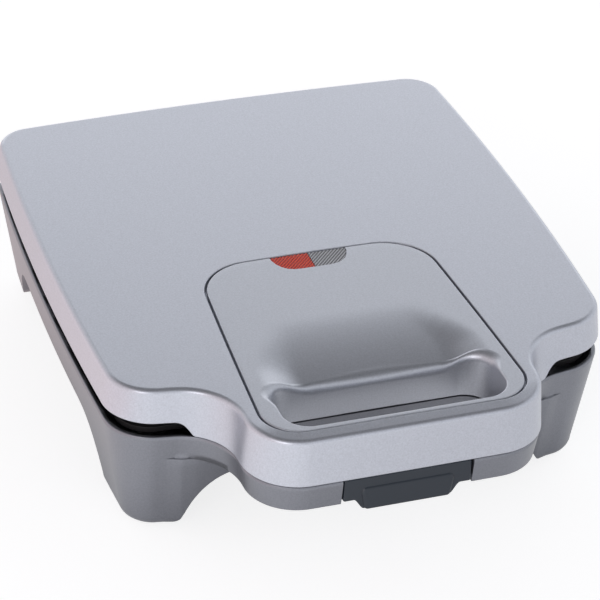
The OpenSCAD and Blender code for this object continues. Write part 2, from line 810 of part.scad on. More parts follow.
// Front plate with a thumb pad, a roll on the pin and two noses that rise into the lid
module latch() {
    w = latch_width / 2;
    plate_top = lip_z - 0.9;
    stem_y = latch_y - 1.6;
    color("#3c434c") difference() {
        union() {
            translate([-w, latch_face_y, handle_under + 0.4])
                cube([latch_width, latch_plate, plate_top - 2 - handle_under - 0.4]);
            rod_x(-w, w, latch_face_y + 2, plate_top - 2, 2);
            rod_x(-w, w, latch_y, latch_z, latch_roll);
            translate([-w, latch_face_y + 2, latch_z - 2.4])
                cube([latch_width, latch_y - latch_face_y - 2, plate_top - latch_z + 2.4]);
            thumb_pad();
            for (s = [-1, 1]) latch_nose(s, stem_y, plate_top);
        }
        rod_x(-w - 1, w + 1, latch_y, latch_z, latch_pin_diameter / 2 + pin_clearance);
        // cut-outs that leave the bottom corners as shoulders
        for (s = [-1, 1]) translate([s * (w - 4) - 8 + s * 8, latch_face_y - 5, handle_under - 6])
            cube([16, 4.9, 8.4]);
    }
}

// Pad that bulges forward and reaches below the handle
module thumb_pad() {
    r = 1.8;
    hull() {
        for (y = [latch_face_y + 0.4, latch_face_y + 2])
            rod_x(-26, 26, y, handle_under + 6.5, 1, $fn = 24);
        rod_x(-22.5, 22.5, latch_face_y - 1.6, handle_under - 0.6, r, $fn = 24);
        rod_x(-22.5, 22.5, latch_face_y + 1.6, handle_under - 0.6, r, $fn = 24);
    }
}

// One nose: a stem with a barb that stands over the lid's shelf
module latch_nose(s, stem_y, z0) {
    barb_z = shelf_z + 0.3;
    barb_y = stem_y - 1.6;
    translate([s * nose_x - nose_width / 2, 0, 0]) rotate([90, 0, 90])
        linear_extrude(nose_width)
            polygon([[stem_y, z0 - 2], [stem_y + nose_thick, z0 - 2], [stem_y + nose_thick, barb_z + 3],
                     [stem_y, barb_z + 3], [barb_y, barb_z + 0.8], [barb_y, barb_z], [stem_y, barb_z]]);
}

// ---- Lid -------------------------------------------------------------------

function lid_inset(z) = lid_draft * (z - lid_low_z) / (total_height - lid_low_z);

// Outside of the lid at k = 0, its hollow at k = wall
module lid_block(k) {
    r = k == 0 ? lid_fillet : 1.2;
    top = total_height - k;
    low = k == 0 ? lid_low_z : lid_low_z - 1;
    loft(base_line, concat(
        [[lid_inset(low) + k, low]],
        [for (a = [0 : 22.5 : 90])
            [lid_inset(top - r) + k + r * (1 - cos(a)), top - r + r * sin(a)]]));
}

// A prism along Y on a profile of [x, z] points, anticlockwise, seen whole from its first point
module prism_y(profile, y0, y1) {
    n = len(profile);
    polyhedron(
        points = concat([for (p = profile) [p[0], y0, p[1]]], [for (p = profile) [p[0], y1, p[1]]]),
        faces = concat([for (i = [0 : n - 1]) [i, i + n, (i + 1) % n + n, (i + 1) % n]],
                       [[for (i = [0 : n - 1]) i]], [[for (i = [n - 1 : -1 : 0]) i + n]]),
        convexity = 6);
}

// Cuts the skirt's lower edge up, everywhere but round the handle
module edge_cut() {
    side = concat([[200, lid_low_z - 2], [94.6, lid_low_z - 2], [94.6, lid_low_z + 0.4], [96, lid_low_z + 3]],
                  [for (a = [0 : 22.5 : 90])
                      [102.5 - 5.5 * cos(a), lid_edge_z - 4 * (1 - sin(a))]], [[200, lid_edge_z]]);
    prism_y(side, front_y - 30, back_y + 20);
    mirror([1, 0, 0]) prism_y(side, front_y - 30, back_y + 20);
    translate([-200, front_y + 10, lid_edge_z]) mirror([0, 0, 1]) cube([400, total_depth, 20]);
}

// Right half of the insert's outline, from back to front
function insert_half() =
    let (b = [insert_back, insert_back_y], f = [insert_front, insert_front_y],
         c1 = corner(b, [0, insert_back_y], f, 27), c2 = corner(f, b, [0, insert_front_y], 19))
    [for (p = concat([[12, insert_back_y]], c1, between(c1[steps], c2[0], 3), c2, [[12, insert_front_y]]))
        [p[0] + 0.6 * sin(180 * (p[1] - insert_front_y) / (insert_back_y - insert_front_y)),
         p[1] + (p[1] > insert_back_y - 28 ? 1.2 * (1 - pow(p[0] / insert_back, 2)) : 0)]];

insert_line = insert_half();

// Plan of the insert, drawn in by k
module insert_plan(k) {
    polygon(flat_ring(drawn_in(insert_line, k)));
}

// Shelf inside the front skirt that the latch's noses catch
module latch_shelf() {
    translate([-nose_x - nose_width / 2 - 2, handle_front_y + 1.5, shelf_z - shelf_height])
        cube([2 * nose_x + nose_width + 4, wall - 0.9 + shelf_reach, shelf_height]);
}

module lid_moulding() {
    resize([0, 0, total_height - lid_low_z])
        difference() {
            union() {
                difference() {
                    lid_block(0);
                    lid_block(wall);
                    edge_cut();
                }
                // thicker margin round the insert's opening
                translate([0, 0, total_height - insert_thick - 2.4])
                    linear_extrude(insert_thick + 1) insert_plan(-3);
                latch_shelf();
                for (x = [-1, 1], y = frame_screw_y)
                    upright(x * frame_screw_x, y, up_back_z + frame_thick, lid_under_z + 1,
                            boss_radius, 16);
                for (s = [-1, 1], y = arm_screw_y())
                    upright(s * ear_x, y, arm_flange_z, lid_under_z + 1, boss_radius, 16);
                for (x = [-1, 1], y = [-1, 1])
                    upright(x * post_x, plate_y + y * post_x, upper_tray_z, lid_under_z + 1,
                            post_radius, 16);
            }
            translate([0, 0, total_height - insert_thick])
                linear_extrude(insert_thick + 1) insert_plan(-insert_gap);
            translate([0, 0, total_height - 10]) linear_extrude(12) {
                insert_plan(insert_ledge);
                hole_plan(-tube_wall - 0.25);
            }
        }
}

module lid_shell() {
    color("#a9aeb8")
        difference() {
            union() {
                lid_moulding();
                for (x = [-1, 1], y = [-1, 1])
                    upright(x * post_x, plate_y + y * post_x,
                            upper_tray_z - tray_thick - stake_head, upper_tray_z + 1, stake_radius);
            }
            for (x = [-1, 1], y = frame_screw_y)
                upright(x * frame_screw_x, y, up_back_z, lid_under_z - 1, screw_bore());
            for (s = [-1, 1], y = arm_screw_y())
                upright(s * ear_x, y, arm_flange_z - 1, lid_under_z - 0.8, screw_bore());
        }
}

// ---- Handle insert ---------------------------------------------------------

function smooth(t) = t * t * (3 - 2 * t);

// Depth of the scoop at y, with the edge of the hand hole rounded over
function scoop_at(y) =
    let (t = min(1, max(0, (scoop_start_y - y) / (scoop_start_y - hole_back_y))),
         e = min(0.97, max(0, (hole_back_y + 2.6 - y) / 4.2)))
    scoop_depth * pow(t, 1.8) + 3.4 * (1 - sqrt(1 - e * e));

function scoop_width(y) =
    let (t = min(1, max(0, (scoop_start_y - y) / (scoop_start_y - hole_back_y))))
    44 + 16.5 * smooth(min(1, t * 1.25));

// Solid that scoops out the insert; g grows it into the insert's underside
module scoop(g) {
    ys = concat([for (i = [0 : 8]) scoop_start_y + g - (scoop_start_y - hole_back_y - 2) * i / 8],
                [for (i = [1 : 6]) hole_back_y + 2 - i * 0.7]);
    m = 16;
    n = m + 3;
    rows = [for (y = ys) concat(
        [for (i = [0 : m])
            let (w = scoop_width(y) + g, x = w * (2 * i / m - 1), q = abs(2 * i / m - 1),
                 fall = q < 0.62 ? 1 : 1 - smooth((q - 0.62) / 0.38))
            [x, y, total_height - scoop_at(y) * fall - g]],
        [[scoop_width(y) + g, y, total_height + 2], [-scoop_width(y) - g, y, total_height + 2]])];
    polyhedron(
        points = [for (r = rows) each r],
        faces = concat([for (r = [0 : len(rows) - 2], i = [0 : n - 1])
                let (a = r * n + i, b = r * n + (i + 1) % n) each [[a, a + n, b + n], [a, b + n, b]]],
            [[for (i = [0 : n - 1]) i]],
            [[for (i = [n - 1 : -1 : 0]) (len(rows) - 1) * n + i]]),
        convexity = 8);
}

// Plan of the window for both lenses, drawn in by k
module lens_plan(k) {
    half = [[lens_half - k, lens_back_y - k], [lens_half - 1.2 - k, lens_back_y - 4],
            [lens_foot_half + 3.2 - k, lens_back_y - lens_length + 3.2],
            [lens_foot_half - k, lens_back_y - lens_length + 0.8 + k],
            [lens_foot_half - 5, lens_back_y - lens_length + k]];
    polygon(concat(half, [for (i = [len(half) - 1 : -1 : 0]) [-half[i][0], half[i][1]]]));
}

module handle_insert() {
    color("#adb2bb")
    resize([0, 0, total_height - lid_low_z])
        difference() {
            union() {
                translate([0, 0, total_height - insert_thick])
                    linear_extrude(insert_thick) insert_plan(0);
                intersection() {
                    scoop(insert_thick);
                    translate([0, 0, total_height - 20]) linear_extrude(20) insert_plan(insert_ledge + 0.6);
                }
                translate([0, 0, lid_low_z])
                    linear_extrude(total_height - lid_low_z) hole_plan(-tube_wall);
            }
            scoop(0);
            translate([0, 0, lid_low_z - 1]) linear_extrude(40) hole_plan(0);
            translate([0, 0, total_height - 4]) linear_extrude(6) lens_plan(0);
        }
}

// One lens with fine slanting grooves; side is -1 for the left one and 1 for the right
module lens(side) {
    top = total_height - 0.15;
    difference() {
        intersection() {
            translate([0, 0, total_height - insert_thick])
                linear_extrude(top - total_height + insert_thick) lens_plan(0.15);
            translate([side > 0 ? lens_gap / 2 : -40 - lens_gap / 2, lens_back_y - 20, total_height - 10])
                cube([40, 40, 20]);
        }
        for (i = [0 : 6])
            translate([side * (3 + i * 2.6), lens_back_y - lens_length / 2, top])
                rotate([0, 0, -28]) cube([0.5, 30, 0.5], center = true);
    }
}

module power_lens() {
    color("#e8402a") lens(-1);
}

module ready_lens() {
    color("#9b9a98") lens(1);
}

// Black holder that seats both lenses and the lamps under them
module lamp_holder() {
    top = total_height - insert_thick;
    color("#1c1b1d")
        difference() {
            translate([-lens_half - 2, lens_back_y - lens_length - 2, top - holder_height])
                cube([2 * lens_half + 4, lens_length - 1.2, holder_height]);
            for (s = [-1, 1])
                translate([s * 9 - 6.5, lens_back_y - lens_length, top - holder_height + 1])
                    cube([13, lens_length - 5, holder_height]);
            for (s = [-1, 1])
                upright(s * 9, lens_back_y - lens_length + 3.4, top - holder_height - 1, top, lamp_radius + 0.1);
        }
}

lamp_radius = 1.9;

module signal_lamps() {
    top = total_height - insert_thick;
    color("#e8e3da") for (s = [-1, 1])
        translate([s * 9, lens_back_y - lens_length + 3.4, top - holder_height]) {
            cylinder(r = lamp_radius, h = 3.4, $fn = fine);
            translate([0, 0, 3.4]) sphere(r = lamp_radius, $fn = fine);
        }
}

module lid_frame() {
    color("#1c1b1d") plate_frame(up_back_z);
}

module lid_frame_screws() {
    color("#9a9ca0") for (x = [-1, 1], y = frame_screw_y)
        screw(x * frame_screw_x, y, up_back_z, 1, 12);
}

module upper_plate_screws() {
    color("#9a9ca0") for (x = [-1, 1], y = plate_screw_y)
        screw(x * plate_screw_x, y, up_back_z + frame_thick, -1, 4.5);
}

base_shell();
rubber_feet();
base_frame();
lower_plate();
lower_element();
lower_reflector();
thermostat();
terminal_block();
cord_bush();
base_frame_screws();
lower_plate_screws();
hinge_brackets();
bracket_screws();
hinge_pins();
latch_carrier();
carrier_screws();
latch_pin();
latch();
lid_shell();
handle_insert();
power_lens();
ready_lens();
lamp_holder();
signal_lamps();
lid_frame();
upper_plate();
upper_element();
upper_reflector();
hinge_arms();
arm_screws();
lid_frame_screws();
upper_plate_screws();
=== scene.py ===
# %% [markdown]
# # A four-slice sandwich toaster
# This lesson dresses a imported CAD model: it gives the toaster the finish, the rounded
# edges and the light that a product photograph shows. The CAD stays the frame that
# everything is measured from, so each new piece is drawn in the CAD's own millimetres.

# %% Load the frame
import math

import bmesh
import bpy
from mathutils import Matrix, Vector


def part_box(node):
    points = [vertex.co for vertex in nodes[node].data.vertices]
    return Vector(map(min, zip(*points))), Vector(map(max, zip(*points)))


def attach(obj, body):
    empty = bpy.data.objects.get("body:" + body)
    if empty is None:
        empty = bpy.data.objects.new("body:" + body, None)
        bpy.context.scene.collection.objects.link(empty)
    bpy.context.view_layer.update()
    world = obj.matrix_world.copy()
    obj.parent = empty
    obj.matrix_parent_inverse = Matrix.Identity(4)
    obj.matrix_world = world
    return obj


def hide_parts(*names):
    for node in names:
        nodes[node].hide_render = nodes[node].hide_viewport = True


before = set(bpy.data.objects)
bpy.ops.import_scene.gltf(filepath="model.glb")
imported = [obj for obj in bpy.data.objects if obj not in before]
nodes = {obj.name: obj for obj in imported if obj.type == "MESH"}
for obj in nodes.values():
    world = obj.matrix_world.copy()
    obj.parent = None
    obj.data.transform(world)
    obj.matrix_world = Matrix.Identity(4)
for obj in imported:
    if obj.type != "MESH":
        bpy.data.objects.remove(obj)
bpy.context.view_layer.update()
MM = 0.001

# %% [markdown]
# ## Colours and small helpers
# A paint chip is read in sRGB, but the renderer adds up light in linear values. One
# function turns each hex colour to linear, so that every finish below can be written the
# way that a designer would note it down.

# %% Colour and node helpers
def linear(hex_colour):
    """An sRGB hex colour as linear RGBA."""
    parts = [int(hex_colour[i:i + 2], 16) / 255 for i in (1, 3, 5)]
    return [c / 12.92 if c <= 0.04045 else ((c + 0.055) / 1.055) ** 2.4 for c in parts] + [1.0]


def add(tree, kind, sockets=None, **properties):
    """Adds a node; a socket takes a plain value, or the output that it is linked to."""
    node = tree.nodes.new(kind)
    for name, value in properties.items():
        setattr(node, name, value)
    for name, value in (sockets or {}).items():
        if isinstance(value, bpy.types.NodeSocket):
            tree.links.new(value, node.inputs[name])
        else:
            node.inputs[name].default_value = value
    return node


def new_material(name, **surface):
    """A Principled material with values on its own sockets; returns it, its tree, its shader."""
    material = bpy.data.materials.new(name)
    material.use_nodes = True
    tree = material.node_tree
    shader = tree.nodes["Principled BSDF"]
    for socket, value in surface.items():
        shader.inputs[socket.replace("_", " ")].default_value = value
    return material, tree, shader


def darker_and_lighter(hex_colour, share):
    """Two linear colours, a share below and a share above the one given."""
    return [[c * (1 + sign * share) for c in linear(hex_colour)[:3]] + [1] for sign in (-1, 1)]


def noise_scale(size_mm):
    """The noise texture's scale at which its lumps are about size_mm wide."""
    return 1 / (2 * size_mm * MM)


print("mid grey #808080 is", round(linear("#808080")[0], 3), "in linear light")

# %% [markdown]
# ## The silver finish
# The housing is ABS, moulded and then sprayed with a metallic lacquer: tiny aluminium
# flakes lie in a clear binder. The eye sees a soft sheen with no sharp reflections, and a
# very fine speckle. It could be a plain grey, but then it would look like bare plastic, so
# the shader is mostly metallic, rather rough, and a fine noise moves both its tone and its
# normals. Real flakes are about 0.02 mm; they are drawn 0.45 mm wide so that they show.

# %% Metallic lacquer
FLAKE = 0.45         # width of a flake, drawn coarser than it is
FLAKE_TONES = 0.2    # how far the flakes' tones spread to either side
SOFT_EDGE = 0.45     # radius over which a moulded edge catches light
A, B, MIXED = 6, 7, 2    # the colour sockets of a Mix node


def lacquer(name, colour):
    """Metallic paint on a moulding; its edges catch light over a small radius."""
    material, tree, shader = new_material(
        name, Metallic=0.7, Roughness=0.36, IOR=1.5, Coat_Weight=0.12, Coat_Roughness=0.3)
    spot = add(tree, "ShaderNodeTexCoord").outputs["Object"]
    speck = add(tree, "ShaderNodeTexNoise", {
        "Vector": spot, "Scale": noise_scale(FLAKE),
        "Detail": 2.0, "Roughness": 0.7})
    dark, light = darker_and_lighter(colour, FLAKE_TONES)
    tone = add(tree, "ShaderNodeMix", {"Factor": speck.outputs["Fac"], A: dark, B: light},
               data_type="RGBA")
    tree.links.new(tone.outputs[MIXED], shader.inputs["Base Color"])
    soft_edge = add(tree, "ShaderNodeBevel", {"Radius": SOFT_EDGE * MM}, samples=4)
    grain = add(tree, "ShaderNodeBump", {
        "Height": speck.outputs["Fac"], "Normal": soft_edge.outputs["Normal"],
        "Strength": 0.06, "Distance": 0.02 * MM})
    tree.links.new(grain.outputs["Normal"], shader.inputs["Normal"])
    return material


# three lacquers: the lid is the palest, the insert a touch darker, and the base, the same
# silver, a mid grey of painted shade for walls that lean in over the shaded table; it lets the
# lid seem to float on it
silver_lid = lacquer("silver_lacquer_lid", "#c4c7d1")
silver_insert = lacquer("silver_lacquer_insert", "#bfc2cb")
shaded_silver_base = lacquer("silver_lacquer_base_shaded", "#868890")
print("lacquers:", silver_lid.name, silver_insert.name, shaded_silver_base.name)

# %% [markdown]
# ## Moulded plastics and rubber
# The latch is anthracite ABS with a satin tool finish. Frames, brackets and the lamp
# holder are black glass-filled nylon, which comes out of the tool with a fine spark-eroded
# texture. The feet and the cord's bush are matt rubber, and the electrical parts are held
# in steatite ceramic. All four are dielectrics with an IOR near 1.5, so only their colour,
# roughness and grain set them apart. The grain is a noise; a picture could do it too, but
# noise needs no unwrapping.

# %% Plastics
CLOUD = 50 / 3       # slow change of tone across a moulding, from its flow in the tool
CLOUD_TONES = 0.08


def moulded(name, colour, roughness, grain, depth=0.15):
    """Unpainted plastic, rubber or ceramic with the tool's fine texture, its grain in mm."""
    material, tree, shader = new_material(name, Roughness=roughness, IOR=1.5)
    spot = add(tree, "ShaderNodeTexCoord").outputs["Object"]
    fine = add(tree, "ShaderNodeTexNoise", {
        "Vector": spot, "Scale": noise_scale(grain), "Detail": 3.0})
    broad = add(tree, "ShaderNodeTexNoise", {
        "Vector": spot, "Scale": noise_scale(CLOUD)})
    dark, light = darker_and_lighter(colour, CLOUD_TONES)
    tone = add(tree, "ShaderNodeMix", {"Factor": broad.outputs["Fac"], A: dark, B: light},
               data_type="RGBA")
    tree.links.new(tone.outputs[MIXED], shader.inputs["Base Color"])
    soft_edge = add(tree, "ShaderNodeBevel", {"Radius": SOFT_EDGE * MM}, samples=4)
    bump = add(tree, "ShaderNodeBump", {
        "Height": fine.outputs["Fac"], "Normal": soft_edge.outputs["Normal"],
        "Strength": depth, "Distance": 0.05 * MM})
    tree.links.new(bump.outputs["Normal"], shader.inputs["Normal"])
    return material


# a satin blue-black: broad soft highlights along the latch's rounded edges
anthracite = moulded("anthracite_satin_abs", "#272f3a", 0.36, 0.3, 0.08)
# nearly black with a dull grain, so the frames read as a shadow line between the halves
black_nylon = moulded("black_filled_nylon", "#1d1c1e", 0.5, 0.5)
# no highlight at all: the feet and the bush only show as dark shapes
rubber = moulded("black_rubber", "#232327", 0.8, 0.8)
# chalky and pale, the one light thing among the dark parts inside
steatite = moulded("steatite_ceramic", "#ddd6c6", 0.6, 0.4, 0.2)
print("plastics made")

# %% [markdown]
# ## Metals and the non-stick coating
# The hotplates are die-cast aluminium under a sprayed PTFE coating: dark, slightly warm,
# speckled and satin. Elements are steel tubes tinted by heat, the reflectors tinned sheet
# and the screws zinc-plated steel. A metal keeps the default IOR, because its reflection
# comes from its base colour.

# %% Metals
SPECK = 0.7    # pale specks in the non-stick coating


def metal(name, colour, roughness, grain=1.0, spread=0.1):
    """Bare or plated metal, with a cloudy change of roughness and tone; its grain in mm."""
    material, tree, shader = new_material(name, Metallic=1.0)
    spot = add(tree, "ShaderNodeTexCoord").outputs["Object"]
    cloud = add(tree, "ShaderNodeTexNoise", {
        "Vector": spot, "Scale": noise_scale(grain), "Detail": 4.0})
    dark, light = darker_and_lighter(colour, spread)
    tone = add(tree, "ShaderNodeMix", {"Factor": cloud.outputs["Fac"], A: dark, B: light},
               data_type="RGBA")
    tree.links.new(tone.outputs[MIXED], shader.inputs["Base Color"])
    rough = add(tree, "ShaderNodeMapRange", {
        "Value": cloud.outputs["Fac"], "To Min": roughness * 0.8, "To Max": roughness * 1.2})
    tree.links.new(rough.outputs["Result"], shader.inputs["Roughness"])
    return material


def non_stick(name, ground, specks):
    """Sprayed PTFE over cast aluminium, with pale specks in it."""
    material, tree, shader = new_material(name, Roughness=0.34, IOR=1.38)
    spot = add(tree, "ShaderNodeTexCoord").outputs["Object"]
    speck = add(tree, "ShaderNodeTexNoise", {
        "Vector": spot, "Scale": noise_scale(SPECK), "Detail": 3.0})
    ramp = add(tree, "ShaderNodeValToRGB", {"Fac": speck.outputs["Fac"]})
    for stop, position, colour in zip(ramp.color_ramp.elements, (0.6, 0.72), (ground, specks)):
        stop.position = position
        stop.color = linear(colour)
    tree.links.new(ramp.outputs["Color"], shader.inputs["Base Color"])
    bump = add(tree, "ShaderNodeBump", {
        "Height": speck.outputs["Fac"], "Strength": 0.12, "Distance": 0.05 * MM})
    tree.links.new(bump.outputs["Normal"], shader.inputs["Normal"])
    return material


# warm near-black with a satin sheen that draws the pockets' edges
coated = non_stick("ptfe_coated_aluminium", "#2c2827", "#5c5856")
# brownish steel, blotched by heat
element_steel = metal("heat_tinted_steel", "#6f665f", 0.38, 3.0, 0.2)
# bright sheet with large, faint tin flowers
tinned = metal("tinned_sheet", "#c6c8ca", 0.3, 6.0)
# small cool glints on the screw heads
zinc = metal("zinc_plated_steel", "#b6b9bd", 0.33)
# the sharpest highlight on the toaster, on the hinge and latch pins
pin_steel = metal("ground_steel", "#bfc0c2", 0.22)
print("metals made")

# %% [markdown]
# ## The signal lenses
# Both lenses are clear polycarbonate, one dyed red. Slanting ribs scatter the lamp's
# light. Full transmission would show the black holder beneath, so the plastic is only
# partly transmissive, as a dyed and ribbed lens looks when its lamp is off. The furrows
# between the ribs look darker, because light is lost in them, so their colour is painted
# shade, and the crests take a painted highlight: both the material and the mesh take the
# ribs from the same slant and spacing.

# %% Lens plastics
RIB = 1.5                       # from rib to rib
RIB_TURN = math.radians(-43)    # the way across the ribs, from the x axis
ACROSS_RIBS = Vector((math.cos(RIB_TURN), math.sin(RIB_TURN), 0))


def lens_plastic(name, furrow_shade, crest_highlight, transmission=0.1, roughness=0.15):
    """Dyed polycarbonate, IOR 1.585, with painted shade in the furrows between its ribs and a
    painted highlight on their crests.
    """
    material, tree, shader = new_material(
        name, Roughness=roughness, IOR=1.585, Transmission_Weight=transmission)
    spot = add(tree, "ShaderNodeTexCoord").outputs["Object"]
    along = add(tree, "ShaderNodeVectorMath", {
        0: spot, 1: ACROSS_RIBS * (2 * math.pi / (RIB * MM))},
        operation="DOT_PRODUCT")
    wave = add(tree, "ShaderNodeMath", {0: along.outputs["Value"]}, operation="COSINE")
    height = add(tree, "ShaderNodeMapRange", {"Value": wave.outputs[0], "From Min": -1})
    # painted shade in the furrows and a painted highlight on the crests, following the ribs
    tone = add(tree, "ShaderNodeMix", {
        "Factor": height.outputs["Result"], A: linear(furrow_shade), B: linear(crest_highlight)},
        data_type="RGBA")
    tree.links.new(tone.outputs[MIXED], shader.inputs["Base Color"])
    return material


# dyed through red; its deep red furrows are painted shade, its orange crests a painted highlight
red_lens = lens_plastic("red_polycarbonate", "#b8140a", "#ff4e22")
# smoke grey; its dark furrows are painted shade of the space under it, its pale crests a painted
# highlight
clear_lens = lens_plastic("smoke_polycarbonate", "#6a6b70", "#cfd0d6")
# the lamps' glass lies under the lenses and is hardly seen, so it takes the same finish, with
# faint painted rib shade and highlight
lamp_glass = lens_plastic("lamp_glass", "#d8c9b2", "#e6d9c4", 0.6, 0.08)
print("lenses made")

# %% [markdown]
# ## Finishes on the CAD's own pieces
# Most inner pieces are right as they are, and only need their material. It could be
# assigned piece by piece; a table from finish to pieces shows at a glance what is made of
# what. The pieces that are redrawn further down are in it too, so that no CAD node is left
# without a finish.

# %% Dress the CAD nodes
DRESS = {
    silver_lid: ["lid_shell"], silver_insert: ["handle_insert"], shaded_silver_base: ["base_shell"],
    anthracite: ["latch"],
    black_nylon: ["base_frame", "lid_frame", "hinge_brackets", "hinge_arms", "latch_carrier",
                  "lamp_holder"],
    rubber: ["rubber_feet", "cord_bush"],
    coated: ["lower_plate", "upper_plate"],
    element_steel: ["lower_element", "upper_element"],
    tinned: ["lower_reflector", "upper_reflector"],
    steatite: ["thermostat", "terminal_block"],
    zinc: ["base_frame_screws", "lower_plate_screws", "lid_frame_screws", "upper_plate_screws",
           "bracket_screws", "carrier_screws", "arm_screws"],
    pin_steel: ["hinge_pins", "latch_pin"],
    red_lens: ["power_lens"], clear_lens: ["ready_lens"], lamp_glass: ["signal_lamps"],
}
for material, names in DRESS.items():
    for name in names:
        mesh = nodes[name].data
        if not mesh.materials:
            mesh.materials.append(material)
        for i in range(len(mesh.materials)):
            mesh.materials[i] = material
print("dressed", sum(len(n) for n in DRESS.values()), "of", len(nodes), "nodes")

# %% [markdown]
# ## The outline of the housing
# Lid and base share one outline: a body with bowed sides and rounded corners that flows
# through a hollow curve into a narrower handle. It could be a curve object, but then its
# inner and outer rings would have different point counts. Here the right half is drawn as
# points, and every ring of every moulding is that same line, moved inward.

# %% Outline of the body and handle
FRONT, BACK, TIP = -105.65, 165.35, -168.65    # the body's front and back, the handle's front
HALF_FRONT, HALF_BACK, NECK, HANDLE = 132.5, 131.3, 80.0, 78.0    # half widths
NECK_REACH = 8.8                               # how far the neck starts before the body
BACK_RADIUS, FRONT_RADIUS, HANDLE_RADIUS = 18, 25, 29
SIDE_BOW, BACK_BOW, FRONT_BOW = 5.0, 3.8, 0.5
CENTRE_GAP = 3                                 # the half outline starts and ends this far out


def corner(p, a, b, radius, steps=20):
    """Points of the arc that rounds corner p, on the way from a to b."""
    p, a, b = Vector(p), Vector(a), Vector(b)
    u, v = (a - p).normalized(), (b - p).normalized()
    half = u.angle(v) / 2
    centre = p + (u + v).normalized() * radius / math.sin(half)
    start = p + u * radius / math.tan(half) - centre
    end = p + v * radius / math.tan(half) - centre
    first = math.atan2(start.y, start.x)
    turn = math.atan2(end.y, end.x) - first
    turn = (turn + math.pi) % (2 * math.pi) - math.pi
    return [centre + radius * Vector((math.cos(first + turn * i / steps),
                                      math.sin(first + turn * i / steps)))
            for i in range(steps + 1)]


def bowed(p):
    """Bows the long sides, the back and the handle's front outward."""
    w = max(-1, min(1, (p.y - (FRONT + BACK) / 2) / ((BACK - FRONT) / 2)))
    tip = max(0, min(1, (FRONT - p.y) / 50))
    return Vector((p.x * (1 + SIDE_BOW / HALF_FRONT * (1 - w * w)),
                   p.y + BACK_BOW * (1 - (p.x / HALF_FRONT) ** 2) * max(w, 0)
                   - FRONT_BOW * (1 - (p.x / HANDLE) ** 2) * tip))


def spaced(points, step):
    """The same line with extra points, so that no gap is longer than step(point)."""
    line = [points[0]]
    for a, b in zip(points, points[1:]):
        count = max(1, math.ceil((b - a).length / step((a + b) / 2)))
        line += [a + (b - a) * i / count for i in range(1, count + 1)]
    return line


def point_gap(p):
    """Points lie close together at the shoulder, where the lid's edge drops in an S."""
    return 0.9 if 90 < p.x < 107 and p.y < FRONT + 10 else 7


def half_outline():
    """The right half of the outline, from the middle of the back to the handle's front."""
    back, shoulder = Vector((HALF_BACK, BACK)), Vector((HALF_FRONT, FRONT))
    neck, tip = Vector((NECK, FRONT - NECK_REACH)), Vector((HANDLE, TIP))
    points = [Vector((CENTRE_GAP, BACK))]
    points += corner(back, (0, BACK), shoulder, BACK_RADIUS)
    points += corner(shoulder, back, neck, FRONT_RADIUS)
    points += corner(neck, shoulder, tip, HANDLE_RADIUS)
    points += corner(tip, neck, (0, TIP), HANDLE_RADIUS)
    points += [Vector((CENTRE_GAP, TIP))]
    return [bowed(p) for p in spaced(points, point_gap)]


def drawn_in(line, k):
    """A half outline moved inward by k along its own normals."""
    moved = []
    for i, p in enumerate(line):
        before = line[i - 1] if i else Vector((-line[0].x, line[0].y))
        after = line[i + 1] if i + 1 < len(line) else Vector((-line[-1].x, line[-1].y))
        t = (after - before).normalized()
        moved.append(p + k * Vector((t.y, -t.x)))
    return moved


def ring(half):
    """The closed outline: the right half, then its mirror image back again."""
    return list(half) + [Vector((-p.x, p.y)) for p in reversed(half)]


OUTLINE = half_outline()
print("outline points in a ring:", 2 * len(OUTLINE))

# %% [markdown]
# ## Building a skin from rings
# Each moulding is a stack of rings with equal counts, joined by quads. That keeps the
# faces long and even, which is what a smooth highlight needs. Flat areas with a hole in
# them are filled with triangles. Faces are then smoothed, except across sharp angles, and
# weighted normals let the big flat faces stay flat next to a small rounded edge.

# %% Skin helpers
SHARP = 32    # degrees; a wider angle than this between faces stays an edge


def arc(degrees):
    """The sine and cosine of each angle."""
    return [(math.sin(math.radians(a)), math.cos(math.radians(a))) for a in degrees]


def smoothed(mesh, angle=SHARP):
    """Smooth shading, except across sharp angles."""
    mesh.shade_smooth()
    mesh.set_sharp_from_angle(angle=math.radians(angle))


def skin(name, rings, closed=False, fills=()):
    """Joins neighbouring rings, in mm, of equal count, and fills the flat gaps between the
    rings whose numbers each group in fills names."""
    bm = bmesh.new()
    verts = [[bm.verts.new([c * MM for c in p]) for p in r] for r in rings]
    pairs = list(zip(verts, verts[1:])) + ([(verts[-1], verts[0])] if closed else [])
    for a, b in pairs:
        if len(a) == len(b):
            for i in range(len(a)):
                j = (i + 1) % len(a)
                bm.faces.new((a[i], a[j], b[j], b[i]))
    for group in fills:
        edges = []
        for r in group:
            loop = verts[r]
            for i in range(len(loop)):
                pair = (loop[i], loop[(i + 1) % len(loop)])
                edges.append(bm.edges.get(pair) or bm.edges.new(pair))
        bmesh.ops.triangle_fill(bm, use_beauty=True, edges=edges)
    return finished(name, bm)


def finished(name, bm, angle=SHARP):
    """Turns a bmesh into a smooth-shaded object."""
    bmesh.ops.recalc_face_normals(bm, faces=bm.faces)
    mesh = bpy.data.meshes.new(name)
    bm.to_mesh(mesh)
    bm.free()
    smoothed(mesh, angle)
    piece = bpy.data.objects.new(name, mesh)
    bpy.context.scene.collection.objects.link(piece)
    weigh(piece)
    return piece


def weigh(piece):
    """Lets large faces set the normals of the small ones beside them."""
    weighted = piece.modifiers.new("weighted", "WEIGHTED_NORMAL")
    weighted.keep_sharp = True
    weighted.weight = 80


def place(piece, body, material, replaced):
    """Gives a piece its finish and its body, and hides the CAD node that it stands for."""
    piece.data.materials.clear()
    piece.data.materials.append(material)
    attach(piece, body)
    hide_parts(replaced)
    print(piece.name, "faces:", len(piece.data.polygons))

